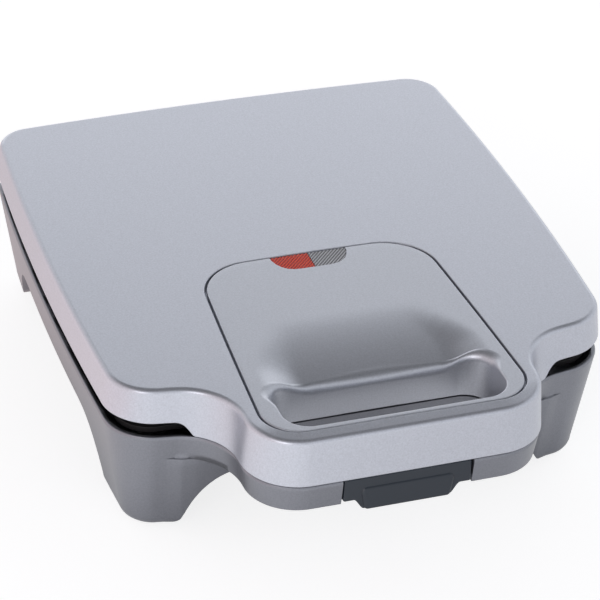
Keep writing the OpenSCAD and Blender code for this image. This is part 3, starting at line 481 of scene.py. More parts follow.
# %% [markdown]
# ## The lid
# The lid is one injection moulding: a flat top with a rounded edge, a skirt that leans in
# a little so that it leaves the tool, and a lower edge that is high along the body, where
# the dark frame shows, and drops in an S to the handle. The top has a pocket that the
# handle insert lies in. It could be a box with modifiers, but the S would be lost. So all
# of it is one closed skin, from the ledge of the pocket over the top, down the skirt, round
# its lower edge and back along the inside. First come the outline of the insert and the
# heights of the skirt.

# %% Insert outline and lid heights
TOP, WALL = 92.5, 2.6
LOW, EDGE_Z = 65.6, 73.6    # the skirt's lower edge, along the handle and along the body
INSERT_FRONT, INSERT_BACK = -159.25, -6.15
INSERT_HALF_FRONT, INSERT_HALF_BACK, INSERT_THICK = 69.5, 61, 2.4


def insert_half():
    """The right half of the insert's outline, from its back to its front."""
    back = Vector((INSERT_HALF_BACK, INSERT_BACK))
    front = Vector((INSERT_HALF_FRONT, INSERT_FRONT))
    points = [Vector((2, INSERT_BACK))] + corner(back, (0, INSERT_BACK), front, 27)
    points += corner(front, back, (0, INSERT_FRONT), 19) + [Vector((2, INSERT_FRONT))]
    line = []
    for p in spaced(points, lambda p: 5):
        bow = 0.6 * math.sin(math.pi * (p.y - INSERT_FRONT) / (INSERT_BACK - INSERT_FRONT))
        crown = 1.2 * (1 - (p.x / INSERT_HALF_BACK) ** 2) if p.y > INSERT_BACK - 28 else 0
        line.append(Vector((p.x + bow, p.y + crown)))
    return line


INSERT = insert_half()
S_CURVE = [(93.8, 65.6), (94.4, 65.9), (95.5, 67.4), (96.7, 69.3), (98.0, 71.0), (99.3, 72.2),
           (101.0, 73.1), (103.0, 73.5), (105.0, 73.6)]


def edge_height(p):
    """Height of the skirt's lower edge above the table, at an outline point."""
    if p.y > FRONT + 10:
        return EDGE_Z
    x = abs(p.x)
    for (x0, z0), (x1, z1) in zip(S_CURVE, S_CURVE[1:]):
        if x < x1:
            return z0 + (z1 - z0) * max(0, (x - x0) / (x1 - x0))
    return EDGE_Z


def smooth(t):
    """Goes from 0 to 1 with an easy start and end."""
    t = max(0, min(1, t))
    return t * t * (3 - 2 * t)


DRAFT = 1.9    # how far the skirt leans in from its lower edge to the top


def draft(z):
    """The skirt's lean at height z."""
    return DRAFT * (z - LOW) / (TOP - LOW)


print("insert points in a ring:", 2 * len(INSERT))

# %% [markdown]
# The groove round the insert is what makes it read as a separate piece: it is narrow at the
# front and the back, wider along the sides, and deep enough to be dark. In front of it the
# lid's top falls away by less than a millimetre, which turns the strip there darker.

# %% Lid skin
GAP, SIDE_GAP, GROOVE = 0.55, 1.4, 2.1
STRIP_FALL, STRIP_START, STRIP_LENGTH = 0.7, -150, 15


def lid_skin():
    """One closed skin, from the insert's pocket over the top and skirt to the inside."""
    low = [edge_height(p) for p in ring(OUTLINE)]
    fillet, lip, inner, brim = 2.8, 0.6, 1.2, 0.35
    ledge = TOP - INSERT_THICK
    floor = ledge - GROOVE
    margin = ledge - 2.4
    rings = []

    def at(k, heights):
        rings.append([(p.x, p.y, z) for p, z in zip(ring(drawn_in(OUTLINE, k)), heights)])

    def flat(line, k, z):
        rings.append([(p.x, p.y, z) for p in ring(drawn_in(line, k))])

    # pocket: the inside of its thick margin, its ledge, its groove and the groove's brim
    flat(INSERT, -3, TOP - WALL)
    flat(INSERT, -3, margin)
    flat(INSERT, 3.5, margin)
    flat(INSERT, 3.5, ledge)
    flat(INSERT, 0.7, ledge)
    flat(INSERT, 0.5, floor)
    across = [q - p for p, q in zip(INSERT, drawn_in(INSERT, 1))]
    mouth = [p - n * (GAP + (SIDE_GAP - GAP) * abs(n.x)) for p, n in zip(INSERT, across)]
    flat(mouth, 0, floor)
    for s, c in arc((0, 30, 60, 90)):
        flat(mouth, -brim * (1 - c), TOP - brim * (1 - s))
    last_pocket = len(rings) - 1
    # outside: top edge, skirt, lower edge, then the inner wall up to the ceiling
    fall = [STRIP_FALL * smooth((STRIP_START - p.y) / STRIP_LENGTH) for p in ring(OUTLINE)]
    high = TOP - fillet
    for s, c in arc(range(90, -1, -10)):
        at(draft(high) + fillet * (1 - c), [high + fillet * s - f for f in fall])
    for t in (0.8, 0.6, 0.4, 0.2, 0.08):
        at(draft(LOW + (high - LOW) * t), [z + lip + (high - z - lip) * t for z in low])
    for s, c in arc((0, 30, 60, 90)):
        at(lip * (1 - c), [z + lip * (1 - s) for z in low])
    at(WALL - 0.3, low)
    at(WALL, [z + 0.3 for z in low])
    for s, c in arc((0, 45, 90)):
        at(draft(TOP) + WALL + inner * (1 - c), [TOP - WALL - inner * (1 - s)] * len(low))
    return skin("lid_skin", rings, fills=[(last_pocket, last_pocket + 1),
                                          (len(rings) - 1, 0)])


place(lid_skin(), "lid", silver_lid, "lid_shell")

# %% [markdown]
# ## The handle insert
# A separate plate lies flush in the lid. Behind the hand hole it dips into a scoop for the
# fingers and rolls over the hole's edge, and a tube runs down through the lid. A scoop
# could be cut with a sphere, but its outline would be wrong: this one fades out towards
# both sides. So the plate is drawn as rings that spread from the hole to the rim, and a
# height function bends them. First come that function and the rays along which the rings
# are spaced.

# %% Insert heights
HOLE_FRONT, HOLE_BACK, HOLE_HALF, HOLE_RADIUS, TUBE = -156.15, -115.15, 58.5, 14.0, 1.8
HOLE_MIDDLE = Vector((0, (HOLE_FRONT + HOLE_BACK) / 2))
CORNERS = (1, 1, 0), (-1, 1, 90), (-1, -1, 180), (1, -1, 270)    # side, end, first angle
SCOOP_START, SCOOP_DEPTH = FRONT + 40, 7.2
SCOOP_HALF, SCOOP_SPREAD, SCOOP_FLAT = 44, 16.5, 0.62    # half width, its growth, level share


def scoop(x, y):
    """How far the insert's face lies below the lid's top."""
    t = max(0, min(1, (SCOOP_START - y) / (SCOOP_START - HOLE_BACK)))
    q = abs(x) / (SCOOP_HALF + SCOOP_SPREAD * smooth(t * 1.25))
    fall = 1 - smooth((q - SCOOP_FLAT) / (1 - SCOOP_FLAT))
    front = 1 if y > HOLE_BACK - 6 else 1 - smooth((HOLE_BACK - 6 - y) / 10)
    return SCOOP_DEPTH * t ** 1.8 * fall * front


def hole_ring(k):
    """Corner centres and corner radius of the hand hole's outline, drawn in by k."""
    r = HOLE_RADIUS - k
    x, y = HOLE_HALF - k - r, (HOLE_BACK - HOLE_FRONT) / 2 - k - r
    return x, y, r


def ray_to_hole(u, k):
    """Distance from the hole's middle to its outline along unit vector u."""
    x, y, r = hole_ring(k)
    ax, ay = abs(u.x), abs(u.y)
    if ax > 1e-9 and ay / ax * (x + r) <= y:
        return (x + r) / ax
    if ay > 1e-9 and ax / ay * (y + r) <= x:
        return (y + r) / ay
    b = ax * x + ay * y
    return b + math.sqrt(b * b - (x * x + y * y - r * r))


def ray_to_line(u, line):
    """Distance from the hole's middle to a closed line along unit vector u."""
    for a, b in zip(line, line[1:] + line[:1]):
        d = b - a
        cross = u.x * d.y - u.y * d.x
        if abs(cross) < 1e-12:
            continue
        w = a - HOLE_MIDDLE
        s = (w.x * d.y - w.y * d.x) / cross
        t = (w.x * u.y - w.y * u.x) / cross
        if s > 0 and -1e-6 <= t <= 1 + 1e-6:
            return s
    raise ValueError("ray misses the line")


def insert_directions():
    """Unit vectors to every point of the rim, and to an even spread round the hole."""
    found = [math.atan2(p.y - HOLE_MIDDLE.y, p.x) for p in ring(INSERT)]
    x, y, r = hole_ring(0)
    for sx, sy, a0 in CORNERS:
        for s, c in arc(a0 + 90 * i / 12 for i in range(13)):
            found.append(math.atan2(sy * y + r * s, sx * x + r * c))
    for i in range(-11, 12):
        found += [math.atan2(y + r, i * 4), math.atan2(-y - r, i * 4)]
    found.sort()
    kept = [found[0]]
    for a in found:
        if a - kept[-1] > 0.004:
            kept.append(a)
    return [Vector((math.cos(a), math.sin(a))) for a in kept]


RAYS = insert_directions()
print("rays:", len(RAYS))

# %% [markdown]
# The skin starts under the plate at the hole, runs down the tube, up its inside, over the
# rolled edge and out to the rim, and comes back underneath. The roll is broad at the back
# of the hole, where fingers pull on it, and tight at the front.

# %% Insert skin
ROLL, ROLL_GROWTH = 1.0, 5.0
TUBE_LIP = 0.4    # chamfer at the tube's lower end
RIM = 0.5         # radius at the insert's outer edge


def insert_skin():
    """One closed skin of the plate and its tube."""
    rim = ring(INSERT)
    hole = [ray_to_hole(u, 0) for u in RAYS]
    tube = [ray_to_hole(u, -TUBE) for u in RAYS]
    edge = [ray_to_line(u, rim) for u in RAYS]
    roll = [ROLL + ROLL_GROWTH * smooth((u.y + 0.02) / 0.24) for u in RAYS]
    rings = []

    def at(distances, heights):
        rings.append([(u.x * d, HOLE_MIDDLE.y + u.y * d, h)
                      for u, d, h in zip(RAYS, distances, heights)])

    def surface(distances, drop=0.0):
        return [TOP - drop - scoop(u.x * d, HOLE_MIDDLE.y + u.y * d)
                for u, d in zip(RAYS, distances)]

    # down the tube's outside, round its end and up its inside
    at(tube, surface(tube, INSERT_THICK))
    at(tube, [LOW] * len(RAYS))
    at([d + TUBE_LIP for d in hole], [LOW] * len(RAYS))
    at(hole, [LOW + TUBE_LIP] * len(RAYS))
    at(hole, [LOW + 10] * len(RAYS))
    top = surface([d + r for d, r in zip(hole, roll)])
    for s, c in arc(range(0, 91, 15)):
        at([d + r * (1 - c) for d, r in zip(hole, roll)],
           [z - r * (1 - s) for z, r in zip(top, roll)])
    # outward over the plate
    near = [d + r for d, r in zip(hole, roll)]
    far = [d - RIM for d in edge]
    for i in range(1, 31):
        t = (i / 30) ** 1.3
        d = [a + (b - a) * t for a, b in zip(near, far)]
        at(d, surface(d))
    for s, c in arc((30, 60, 90)):
        at([d - RIM + RIM * s for d in edge], [TOP - RIM * (1 - c)] * len(RAYS))
    at(edge, [TOP - INSERT_THICK] * len(RAYS))
    for i in range(12):
        d = [e - 3.8 + (h - e + 3.8) * i / 12 for e, h in zip(edge, tube)]
        at(d, surface(d, INSERT_THICK))
    return skin("insert_skin", rings, closed=True)


insert = insert_skin()
place(insert, "lid", silver_insert, "handle_insert")

# %% [markdown]
# ## The signal lenses and their window
# At its back edge the insert is cut open in the shape of a boat, and two ribbed lenses
# fill it: a red one for the mains and a clear one for ready. Ribs could be a bump map, but
# a close view would show a flat face, so each lens top is sliced by parallel cuts and
# every second cut is pushed down, which folds the face into real prisms.

# %% Window in the insert
LENS_HALF, LENS_GAP = 21.0, 0.2    # half of both lenses' width, and the gap round each
BOAT = [(21, 3), (21, -1.5), (19.6, -6), (17.6, -9.2), (14.8, -11.6), (11.5, -12.8), (8, -13.2)]


def boat_plan(k, back):
    """The window's outline drawn in by k, ending at y = back; right half and its mirror."""
    half = [Vector((x - k, min(back, INSERT_BACK + y + (k if y < -9 else 0)))) for x, y in BOAT]
    half = spaced(half, lambda p: 1.5)
    return half + [Vector((-p.x, p.y)) for p in reversed(half)]


def bar(name, profile, axis, low, high):
    """A closed prism: a profile drawn in the plane across an axis, from low to high."""
    bm = bmesh.new()

    def at(p, s):
        return {"X": (s, p.x, p.y), "Y": (p.x, s, p.y), "Z": (p.x, p.y, s)}[axis]

    ends = [[bm.verts.new([c * MM for c in at(p, s)]) for p in profile] for s in (low, high)]
    for i in range(len(profile)):
        j = (i + 1) % len(profile)
        bm.faces.new((ends[0][i], ends[0][j], ends[1][j], ends[1][i]))
    bm.faces.new(ends[0])
    bm.faces.new(ends[1])
    return finished(name, bm)


def cut(piece, *tools):
    """Cuts closed tools out of a piece, keeps the result and removes the tools."""
    piece.modifiers.remove(piece.modifiers["weighted"])
    for tool in tools:
        boolean = piece.modifiers.new("cut", "BOOLEAN")
        boolean.operation, boolean.solver, boolean.object = "DIFFERENCE", "EXACT", tool
        bpy.context.view_layer.update()
        result = bpy.data.meshes.new_from_object(
            piece.evaluated_get(bpy.context.evaluated_depsgraph_get()))
        piece.modifiers.remove(boolean)
        piece.data = result
        bpy.data.objects.remove(tool)
    smoothed(piece.data)
    weigh(piece)
    print(piece.name, "after cutting:", len(piece.data.polygons), "faces")


cut(insert, bar("window", boat_plan(0, INSERT_BACK + 4), "Z", TOP - 6, TOP + 3))

# %% [markdown]
# Each lens is half of the same boat, a hair smaller. Its face is drawn once, sliced across
# the ribs, pushed down in every second slice, and given sides and a bottom.

# %% Ribbed lenses
RIB_DEPTH = 0.45
RIB_SHARP = 20    # degrees; the flanks of the ribs meet at a flatter angle than other edges


def ribbed_lens(name, side):
    """One lens, to the left (side -1) or the right of the middle."""
    bm = bmesh.new()
    bottom = [p for p in boat_plan(LENS_GAP, INSERT_BACK - 1.6)
              if p.x * side > LENS_GAP / 2 and p.y < INSERT_BACK - 1.61]
    bottom.sort(key=lambda p: -p.y)
    if abs(bottom[0].x) < abs(bottom[-1].x):
        bottom.reverse()
    width = LENS_HALF - LENS_GAP
    plan = [Vector((side * LENS_GAP, INSERT_BACK + 0.95)),
            Vector((side * 12, INSERT_BACK + 0.9)), Vector((side * width, INSERT_BACK + 0.8))]
    plan += bottom + [Vector((side * LENS_GAP, bottom[-1].y))]
    face = bm.faces.new([bm.verts.new((p.x * MM, p.y * MM, (TOP - 0.1) * MM)) for p in plan])
    for i in range(-40, 41):
        bmesh.ops.bisect_plane(bm, geom=bm.verts[:] + bm.edges[:] + bm.faces[:],
                               plane_co=ACROSS_RIBS * (i * RIB / 2 * MM), plane_no=ACROSS_RIBS)
    top = bm.verts[:]
    shell = bmesh.ops.extrude_face_region(bm, geom=bm.faces[:])
    for v in shell["geom"]:
        if isinstance(v, bmesh.types.BMVert):
            v.co.z = (TOP - INSERT_THICK) * MM
    for v in top:
        phase = (v.co.dot(ACROSS_RIBS) / (RIB * MM)) % 1
        v.co.z -= RIB_DEPTH * MM * (1 - abs(2 * phase - 1))
    return finished(name, bm, RIB_SHARP)


place(ribbed_lens("power_lens_ribbed", -1), "lid", red_lens, "power_lens")
place(ribbed_lens("ready_lens_ribbed", 1), "lid", clear_lens, "ready_lens")

# %% [markdown]
# ## The base
# The base is a moulded tray on four legs. Its wall leans in towards the table, its upper
# edge is a small round that catches the light, and under the handle it steps up and away
# from the legs. Cutting all of that from a block would leave ragged triangles, so the wall
# is again a stack of rings: above the step they follow the whole outline, below it only the
# body's, and the step itself is the flat ring between the two.

# %% Base wall
LIP, UNDER_HANDLE, ARCH, LEG_END = 64.9, 50.0, 39.0, 2.5    # heights
LEAN, LIP_INSET = 0.16, 0.3    # the wall's lean towards the table, and its start at the lip
LEG_ROUND, LEG_ROUND_HIGH = 6, 7    # the rounding of a leg's end
SHOULDER_X = 106
# the body's own front, which the handle hides above the step
BODY_FRONT = [(100, -112.65), (92, -113.85), (78, -114.85), (50, -115.25), (3, -115.25)]


def body_line(line):
    """The half outline, but straight on under the handle instead of round it."""
    shared = [p for p in line if not (p.y < FRONT and p.x < SHOULDER_X)]
    path = [shared[-1]] + [Vector(p) for p in BODY_FRONT]
    lengths = [0]
    for a, b in zip(path, path[1:]):
        lengths.append(lengths[-1] + (b - a).length)
    rest = []
    for i in range(1, len(line) - len(shared) + 1):
        s = lengths[-1] * i / (len(line) - len(shared))
        j = max(k for k in range(len(path) - 1) if lengths[k] <= s + 1e-9)
        t = (s - lengths[j]) / (lengths[j + 1] - lengths[j])
        rest.append(path[j].lerp(path[j + 1], t))
    return shared + rest, len(shared)


def base_inset(z):
    """How far the base's wall lies inside the outline at height z."""
    return LIP_INSET + LEAN * (LIP - z)


def base_wall():
    """The base's outer form, still solid."""
    body, shared = body_line(OUTLINE)
    rings = []

    def whole(k, z):
        rings.append([(p.x, p.y, z) for p in ring(drawn_in(OUTLINE, k))])

    def below(k, z):
        half = drawn_in(OUTLINE, k)[:shared] + drawn_in(body, k)[shared:]
        rings.append([(p.x, p.y, z) for p in ring(half)])

    for inset, drop in ((1.2, 0), (0.75, 0.1), (0.55, 0.35), (0.15, 1.25), (0, 1.6)):
        whole(base_inset(LIP - drop) + inset, LIP - drop)
    for z in (62.6, 58, 54, UNDER_HANDLE):
        whole(base_inset(z), z)
    for z in (UNDER_HANDLE, 44, 38, 32, 26, 20, 14):
        below(base_inset(z), z)
    for s, c in arc(range(0, 91, 15)):
        below(base_inset(LEG_END + LEG_ROUND_HIGH) + LEG_ROUND * (1 - c),
              LEG_END + LEG_ROUND_HIGH * (1 - s))
    wall = skin("base_skin", rings, fills=[(0,), (len(rings) - 1,)])
    bm = bmesh.new()
    bm.from_mesh(wall.data)
    bmesh.ops.remove_doubles(bm, verts=bm.verts[:], dist=0.001 * MM)
    bm.to_mesh(wall.data)
    bm.free()
    return wall


base = base_wall()

# %% [markdown]
# Arches, the tray's hollow, the hand hole, the notches of latch and hinges, the cord's hole
# and the vents are cut out of it. A curve through a few points gives the arches' soft
# flanks, which is what the eye follows from leg to leg. Booleans are right here, because
# each cut ends in a sharp edge on the real moulding too.

# %% Arches and hollows of the base
def flowing(points, steps=6):
    """A smooth curve through points (Catmull-Rom)."""
    p = [Vector(q) for q in points]
    p = [2 * p[0] - p[1]] + p + [2 * p[-1] - p[-2]]
    line = []
    for a, b, c, d in zip(p, p[1:], p[2:], p[3:]):
        for i in range(steps):
            t = i / steps
            line.append(0.5 * (2 * b + (c - a) * t + (2 * a - 5 * b + 4 * c - d) * t * t
                               + (3 * b - a - 3 * c + d) * t ** 3))
    return line + [p[-2]]


def circle(x, y, radius, step):
    """Points on a circle, every few degrees."""
    return [Vector((x + radius * c, y + radius * s)) for s, c in arc(range(0, 360, step))]


def block(name, x, y, z):
    """A box between two values on each axis."""
    return bar(name, [Vector((x[0], y[0])), Vector((x[1], y[0])), Vector((x[1], y[1])),
                      Vector((x[0], y[1]))], "Z", z[0], z[1])


END_FLANK = flowing([(114, -2), (107, 2.6), (102, 3.9), (98.4, 6.8), (96.2, 11), (94.2, 16),
                     (91.6, 21.5), (88, 27), (83.4, 32), (78, 36), (71.5, 38.4), (64, ARCH)])
END_ARCH = END_FLANK + [Vector((-p.x, p.y)) for p in reversed(END_FLANK)]
SIDE_ARCH = [Vector((FRONT + y, z)) for y, z in
             flowing([(38, -2), (43, 2.6), (46.5, 4.4), (48.6, 8), (50.4, 14), (53, 21),
                      (57, 28.5), (62, 34), (69, 37.8), (78, ARCH)])
             + flowing([(188, ARCH), (200, 37.4), (211, 32.5), (220, 25), (226.5, 16),
                        (231, 8.5), (235.5, 4.4), (241, 2.6), (247, -2)])]


def hole_plan(k):
    """The hand hole's outline drawn in by k."""
    x, y, r = hole_ring(k)
    return [Vector((sx * x + r * c, HOLE_MIDDLE.y + sy * y + r * s))
            for sx, sy, a0 in CORNERS for s, c in arc(range(a0, a0 + 91, 6))]


def tray():
    """The hollow of the body and of the handle, down to their floors."""
    inner = [[(p.x, p.y, z) for p in ring(drawn_in(OUTLINE, base_inset(z) + WALL))]
             for z in (UNDER_HANDLE + WALL, LIP + 1)]
    upper = skin("upper_tray", inner, fills=[(0,), (1,)])
    cut(upper, bar("tube", hole_plan(-TUBE), "Z", 40, 80))
    body, shared = body_line(OUTLINE)
    inner = [[(p.x, max(p.y, FRONT + 3), z) for p in ring(drawn_in(body, base_inset(z) + WALL))]
             for z in (ARCH + WALL, UNDER_HANDLE + WALL + 1)]
    return upper, skin("lower_tray", inner, fills=[(0,), (1,)])


LATCH_NOTCH_HALF, LATCH_NOTCH_BACK = 34.3, -163.0
HINGE_X, HINGE_HALF, HINGE_LOW = 64, 13.9, 54.0
HINGE_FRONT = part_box("hinge_brackets")[0][1] / MM - 1    # a millimetre before the brackets
CORD_X, CORD_Z, CORD_RADIUS = 38, 49.6, 5.1
VENT_WIDE, VENT_LONG, VENT_PITCH, VENT_ROWS = 5, 28, 20, (-7.65, 52.35)
cut(base, bar("end_arch", END_ARCH, "Y", -220, 220), bar("side_arch", SIDE_ARCH, "X", -220, 220),
    *tray(), bar("hand_hole", hole_plan(0), "Z", 40, 80),
    block("latch_notch", (-LATCH_NOTCH_HALF, LATCH_NOTCH_HALF), (-175, LATCH_NOTCH_BACK),
          (44, 80)),
    *[block("hinge_notch", (side * HINGE_X - HINGE_HALF, side * HINGE_X + HINGE_HALF),
            (HINGE_FRONT, 190), (HINGE_LOW, 80)) for side in (-1, 1)],
    bar("cord_hole", circle(CORD_X, CORD_Z, CORD_RADIUS, 15), "Y", 140, 190),
    *[block("vent", (x - VENT_WIDE / 2, x + VENT_WIDE / 2),
            (y - VENT_LONG / 2, y + VENT_LONG / 2), (30, 44))
      for x in range(-2 * VENT_PITCH, 2 * VENT_PITCH + 1, VENT_PITCH) for y in VENT_ROWS])
place(base, "base", shaded_silver_base, "base_shell")

# %% [markdown]
# ## The latch
# The latch is a dark plate in the handle's front. Its shoulders sweep down to a thumb tab
# that bulges forward, and two noses behind it hook over a shelf in the lid. The plate and
# the pad are ring stacks drawn from the front, so their edges are really round; the rest
# only shows when the lid is open, and is plain bars.

# %% Latch
LATCH_HALF, LATCH_FACE, LATCH_TOP, LATCH_THICK = 33.5, -167.45, 64.3, 3.4
SHOULDER_Z, SWEEP_X = 51.4, 28.0    # the shoulders' lower edge, and where it starts to sweep
THUMB_Z, THUMB_HALF = 45.4, 22.5
PAD_TOP, PAD_PROUD, PAD_SPREAD, BULGE = 58.8, 0.9, 2.6, 0.7
PIN_Y, PIN_Z, ROLL_RADIUS = -161.85, 60.8, 3.5    # the latch rolls round its pin
NOSE_X, NOSE_HALF = 18, 7


def front_stack(name, half, back, face, radius, push=lambda z: 0.0):
    """Rings seen from the front: straight from back to face, then rounded over by radius."""
    rings = [[(p.x, back, p.y) for p in ring(half)]]
    for s, c in arc(range(0, 91, 15)):
        rings.append([(p.x, face + radius * (1 - s) - push(p.y), p.y)
                      for p in ring(drawn_in(half, radius * (1 - c)))])
    return skin(name, rings, fills=[(0,), (len(rings) - 1,)])


def latch_half():
    """The right half of the plate, seen from the front."""
    corner_top = corner((LATCH_HALF, LATCH_TOP), (0, LATCH_TOP), (LATCH_HALF, 0), 1.2, 5)
    sweep = [Vector((SWEEP_X - (SWEEP_X - THUMB_HALF) * t / 12,
                     SHOULDER_Z - (SHOULDER_Z - THUMB_Z) * smooth(t / 12))) for t in range(13)]
    low = corner((LATCH_HALF, SHOULDER_Z), (LATCH_HALF, 60), (0, SHOULDER_Z), 1.0, 5)
    return ([Vector((3, LATCH_TOP))] + corner_top + low + sweep + [Vector((3, THUMB_Z))])


def pad_half():
    """The right half of the thumb pad, seen from the front."""
    wide, narrow = (THUMB_HALF + PAD_SPREAD, PAD_TOP), (THUMB_HALF, THUMB_Z)
    top = corner(wide, (0, PAD_TOP), narrow, 3.0, 8)
    low = corner(narrow, wide, (0, THUMB_Z), 2.4, 8)
    return [Vector((3, PAD_TOP))] + top + low + [Vector((3, THUMB_Z))]


parts = [
    front_stack("latch_skin", latch_half(), LATCH_FACE + LATCH_THICK, LATCH_FACE, 0.9),
    front_stack("thumb_pad", pad_half(), LATCH_FACE + 1.0, LATCH_FACE - PAD_PROUD, 1.7,
                lambda z: BULGE * smooth((PAD_TOP - z) / 7)),
    bar("roll", circle(PIN_Y, PIN_Z, ROLL_RADIUS, 12), "X", -LATCH_HALF, LATCH_HALF),
    block("bridge", (-LATCH_HALF, LATCH_HALF), (LATCH_FACE + 2, PIN_Y), (58.4, LATCH_TOP)),
]
NOSE = [(-163.45, 62.3), (-161.45, 62.3), (-161.45, 75.1), (-163.45, 75.1), (-165.05, 72.9),
        (-165.05, 72.1), (-163.45, 72.1)]
for side in (-1, 1):
    parts.append(bar("nose", [Vector(p) for p in NOSE], "X",
                     side * NOSE_X - NOSE_HALF, side * NOSE_X + NOSE_HALF))


def joined(pieces):
    """Puts several closed meshes into the first one's object."""
    bm = bmesh.new()
    for piece in pieces:
        bm.from_mesh(piece.data)
    for piece in pieces[1:]:
        bpy.data.objects.remove(piece)
    bm.to_mesh(pieces[0].data)
    bm.free()
    smoothed(pieces[0].data)
    return pieces[0]


place(joined(parts), "latch", anthracite, "latch")

# %% [markdown]
# ## Camera
# The photograph looks down from the front left, from about 1.5 m away. Its place and
# turn were found by fitting the outline of the lid, the feet and the hand hole, so the
# matrix is written out: its columns are right, up and back.

# %% Camera
camera_data = bpy.data.cameras.new("camera")
camera_data.sensor_width = 36
camera_data.lens = 173.3
camera = bpy.data.objects.new("camera", camera_data)
right = Vector((0.94987563, -0.31114263, 0.03043944))
up = Vector((0.14536203, 0.52576432, 0.83811799))
back = Vector((-0.27677821, -0.79168311, 0.54463904))
turn = Matrix((right, up, back)).transposed()
camera.matrix_world = Matrix.Translation((-0.4315, -1.2305, 0.9060)) @ turn.to_4x4()
bpy.context.scene.collection.objects.link(camera)
bpy.context.scene.camera = camera
print("camera at", [round(v, 3) for v in camera.location])

# %% [markdown]
# ## Floor and light
# The toaster was photographed on white, under large soft lamps. The floor is a plain pale
# plane. For rays straight from the camera it gets a little light of its own, so that it
# shows white but still keeps the shadow under the feet. Polished or lacquered walls mirror
# the floor, so it glows for reflected rays too: most to the front left, where the studio is
# lightest, a little warmer beside the left wall, and hardly at all in the toaster's own
# shade, which gives the base its dark lower edge. The same look could be had with more
# lamps, but then the lamps would have to be balanced against each other.

# %% Floor
SHADE_HALF_WIDTH, SHADE_HALF_DEPTH = 0.14, 0.19    # metres; the toaster's own footprint
TO_FRONT_LEFT = (-0.9, -0.44, 0)
TO_LEFT = (-0.8, 0.6, 0)
COOL, WARM = (1, 1, 1, 1), (1, 0.85, 0.84, 1)
EASY = "SMOOTHSTEP"


def white_floor():
    """Pale paint, with a glow that only the camera and reflections see."""
    material = bpy.data.materials.new("white_floor")
    material.use_nodes = True
    tree = material.node_tree
    tree.nodes.clear()
    path = add(tree, "ShaderNodeLightPath")
    mirrored = add(tree, "ShaderNodeMath", {
        0: path.outputs["Is Glossy Ray"], 1: path.outputs["Is Transmission Ray"]},
        operation="MAXIMUM")
    spot = add(tree, "ShaderNodeTexCoord").outputs["Object"]
    near = add(tree, "ShaderNodeVectorMath", {
        0: spot, 1: (1 / SHADE_HALF_WIDTH, 1 / SHADE_HALF_DEPTH, 0)}, operation="MULTIPLY")
    reach = add(tree, "ShaderNodeVectorMath", {0: near.outputs["Vector"]}, operation="LENGTH")
    shade = add(tree, "ShaderNodeMapRange", {
        "Value": reach.outputs["Value"], "From Min": 0.7, "From Max": 1.25,
        "To Min": 0.15, "To Max": 1}, interpolation_type=EASY)
    ahead = add(tree, "ShaderNodeVectorMath", {0: spot, 1: TO_FRONT_LEFT},
                operation="DOT_PRODUCT")
    lean = add(tree, "ShaderNodeMapRange", {
        "Value": ahead.outputs["Value"], "From Min": 0.06, "From Max": 0.25,
        "To Min": 0.7, "To Max": 1.05}, interpolation_type=EASY)
    bright = add(tree, "ShaderNodeMath", {0: mirrored.outputs[0], 1: lean.outputs[0]},
                 operation="MULTIPLY")
    shaded = add(tree, "ShaderNodeMath", {0: bright.outputs[0], 1: shade.outputs[0]},
                 operation="MULTIPLY")
    strength = add(tree, "ShaderNodeMath", {
        0: path.outputs["Is Camera Ray"], 1: 0.78, 2: shaded.outputs[0]},
        operation="MULTIPLY_ADD")
    beside = add(tree, "ShaderNodeVectorMath", {0: spot, 1: TO_LEFT}, operation="DOT_PRODUCT")
    warm = add(tree, "ShaderNodeMapRange", {
        "Value": beside.outputs["Value"], "From Min": 0.06, "From Max": 0.2},
        interpolation_type=EASY)
    toned = add(tree, "ShaderNodeMath", {0: warm.outputs["Result"], 1: mirrored.outputs[0]},
                operation="MULTIPLY")
    tint = add(tree, "ShaderNodeMix", {"Factor": toned.outputs[0], A: COOL, B: WARM},
               data_type="RGBA")
    paint = add(tree, "ShaderNodeBsdfDiffuse", {"Color": (0.45, 0.45, 0.46, 1)})
    glow = add(tree, "ShaderNodeEmission", {
        "Strength": strength.outputs[0], "Color": tint.outputs[MIXED]})
    total = add(tree, "ShaderNodeAddShader", {0: paint.outputs[0], 1: glow.outputs[0]})
    add(tree, "ShaderNodeOutputMaterial", {"Surface": total.outputs[0]})
    return material


bpy.ops.mesh.primitive_plane_add(size=8, location=(0, 0, 0))
floor = bpy.context.object
floor.name = "floor"
floor.data.materials.append(white_floor())
print("floor made:", floor.name)

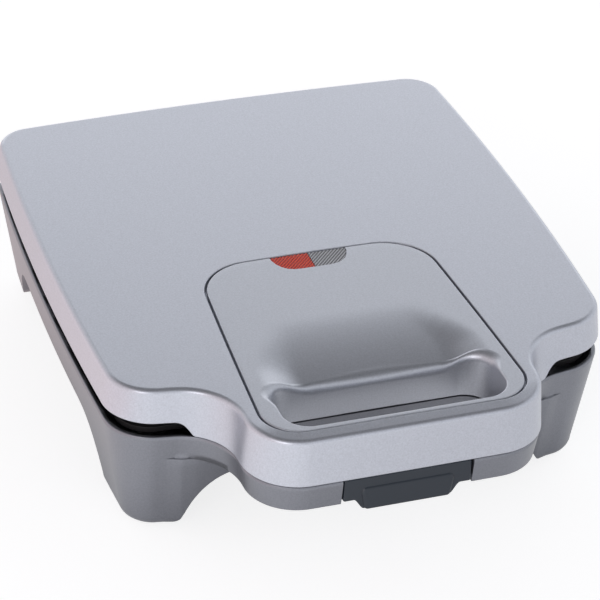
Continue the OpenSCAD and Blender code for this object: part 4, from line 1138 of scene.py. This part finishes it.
# %% [markdown]
# The world stands in for the studio's walls and ceiling. Its walls are light and its
# ceiling dark, which draws the dark line along the lid's top edge and the shadow in the
# scoop, and its left is a little warmer. The camera itself sees plain white. Two large
# lamps add the soft direction: one behind, that lights the lid's back, and one at the
# front left.

# %% World and lamps
world = bpy.data.worlds.new("studio")
bpy.context.scene.world = world
world.use_nodes = True
tree = world.node_tree
tree.nodes.clear()
path = add(tree, "ShaderNodeLightPath")
way = add(tree, "ShaderNodeTexCoord")
split = add(tree, "ShaderNodeSeparateXYZ", {"Vector": way.outputs["Generated"]})
level = add(tree, "ShaderNodeMapRange", {
    "Value": split.outputs["Z"], "From Min": 0.45, "From Max": 0.9,
    "To Min": 0.95, "To Max": 0.1}, interpolation_type=EASY)
warmth = add(tree, "ShaderNodeMapRange", {
    "Value": split.outputs["X"], "From Min": -0.2, "From Max": -0.8}, interpolation_type=EASY)
tint = add(tree, "ShaderNodeMix", {
    "Factor": warmth.outputs["Result"], A: (0.95, 0.97, 1, 1), B: (1, 0.9, 0.9, 1)},
    data_type="RGBA")
ambient = add(tree, "ShaderNodeBackground", {
    "Strength": level.outputs["Result"], "Color": tint.outputs[MIXED]})
white = add(tree, "ShaderNodeBackground", {"Color": (1, 1, 1, 1), "Strength": 1.0})
mixed = add(tree, "ShaderNodeMixShader", {
    0: path.outputs["Is Camera Ray"], 1: ambient.outputs[0], 2: white.outputs[0]})
add(tree, "ShaderNodeOutputWorld", {"Surface": mixed.outputs[0]})


LIT_POINT = Vector((0, 0, 0.05))


def soft_box(name, spot, size, watts):
    """A large area lamp at a spot, pointed at the toaster."""
    data = bpy.data.lights.new(name, "AREA")
    data.shape = "RECTANGLE"
    data.size, data.size_y = size
    data.energy = watts
    lamp = bpy.data.objects.new(name, data)
    lamp.location = spot
    lamp.rotation_euler = (LIT_POINT - Vector(spot)).to_track_quat("-Z", "Y").to_euler()
    bpy.context.scene.collection.objects.link(lamp)


soft_box("back", (0.5, 1.7, 0.55), (2.2, 1.2), 4)
soft_box("front_left", (-1.5, -1.7, 0.9), (1.0, 0.7), 7)
bpy.context.scene.view_settings.view_transform = "Standard"
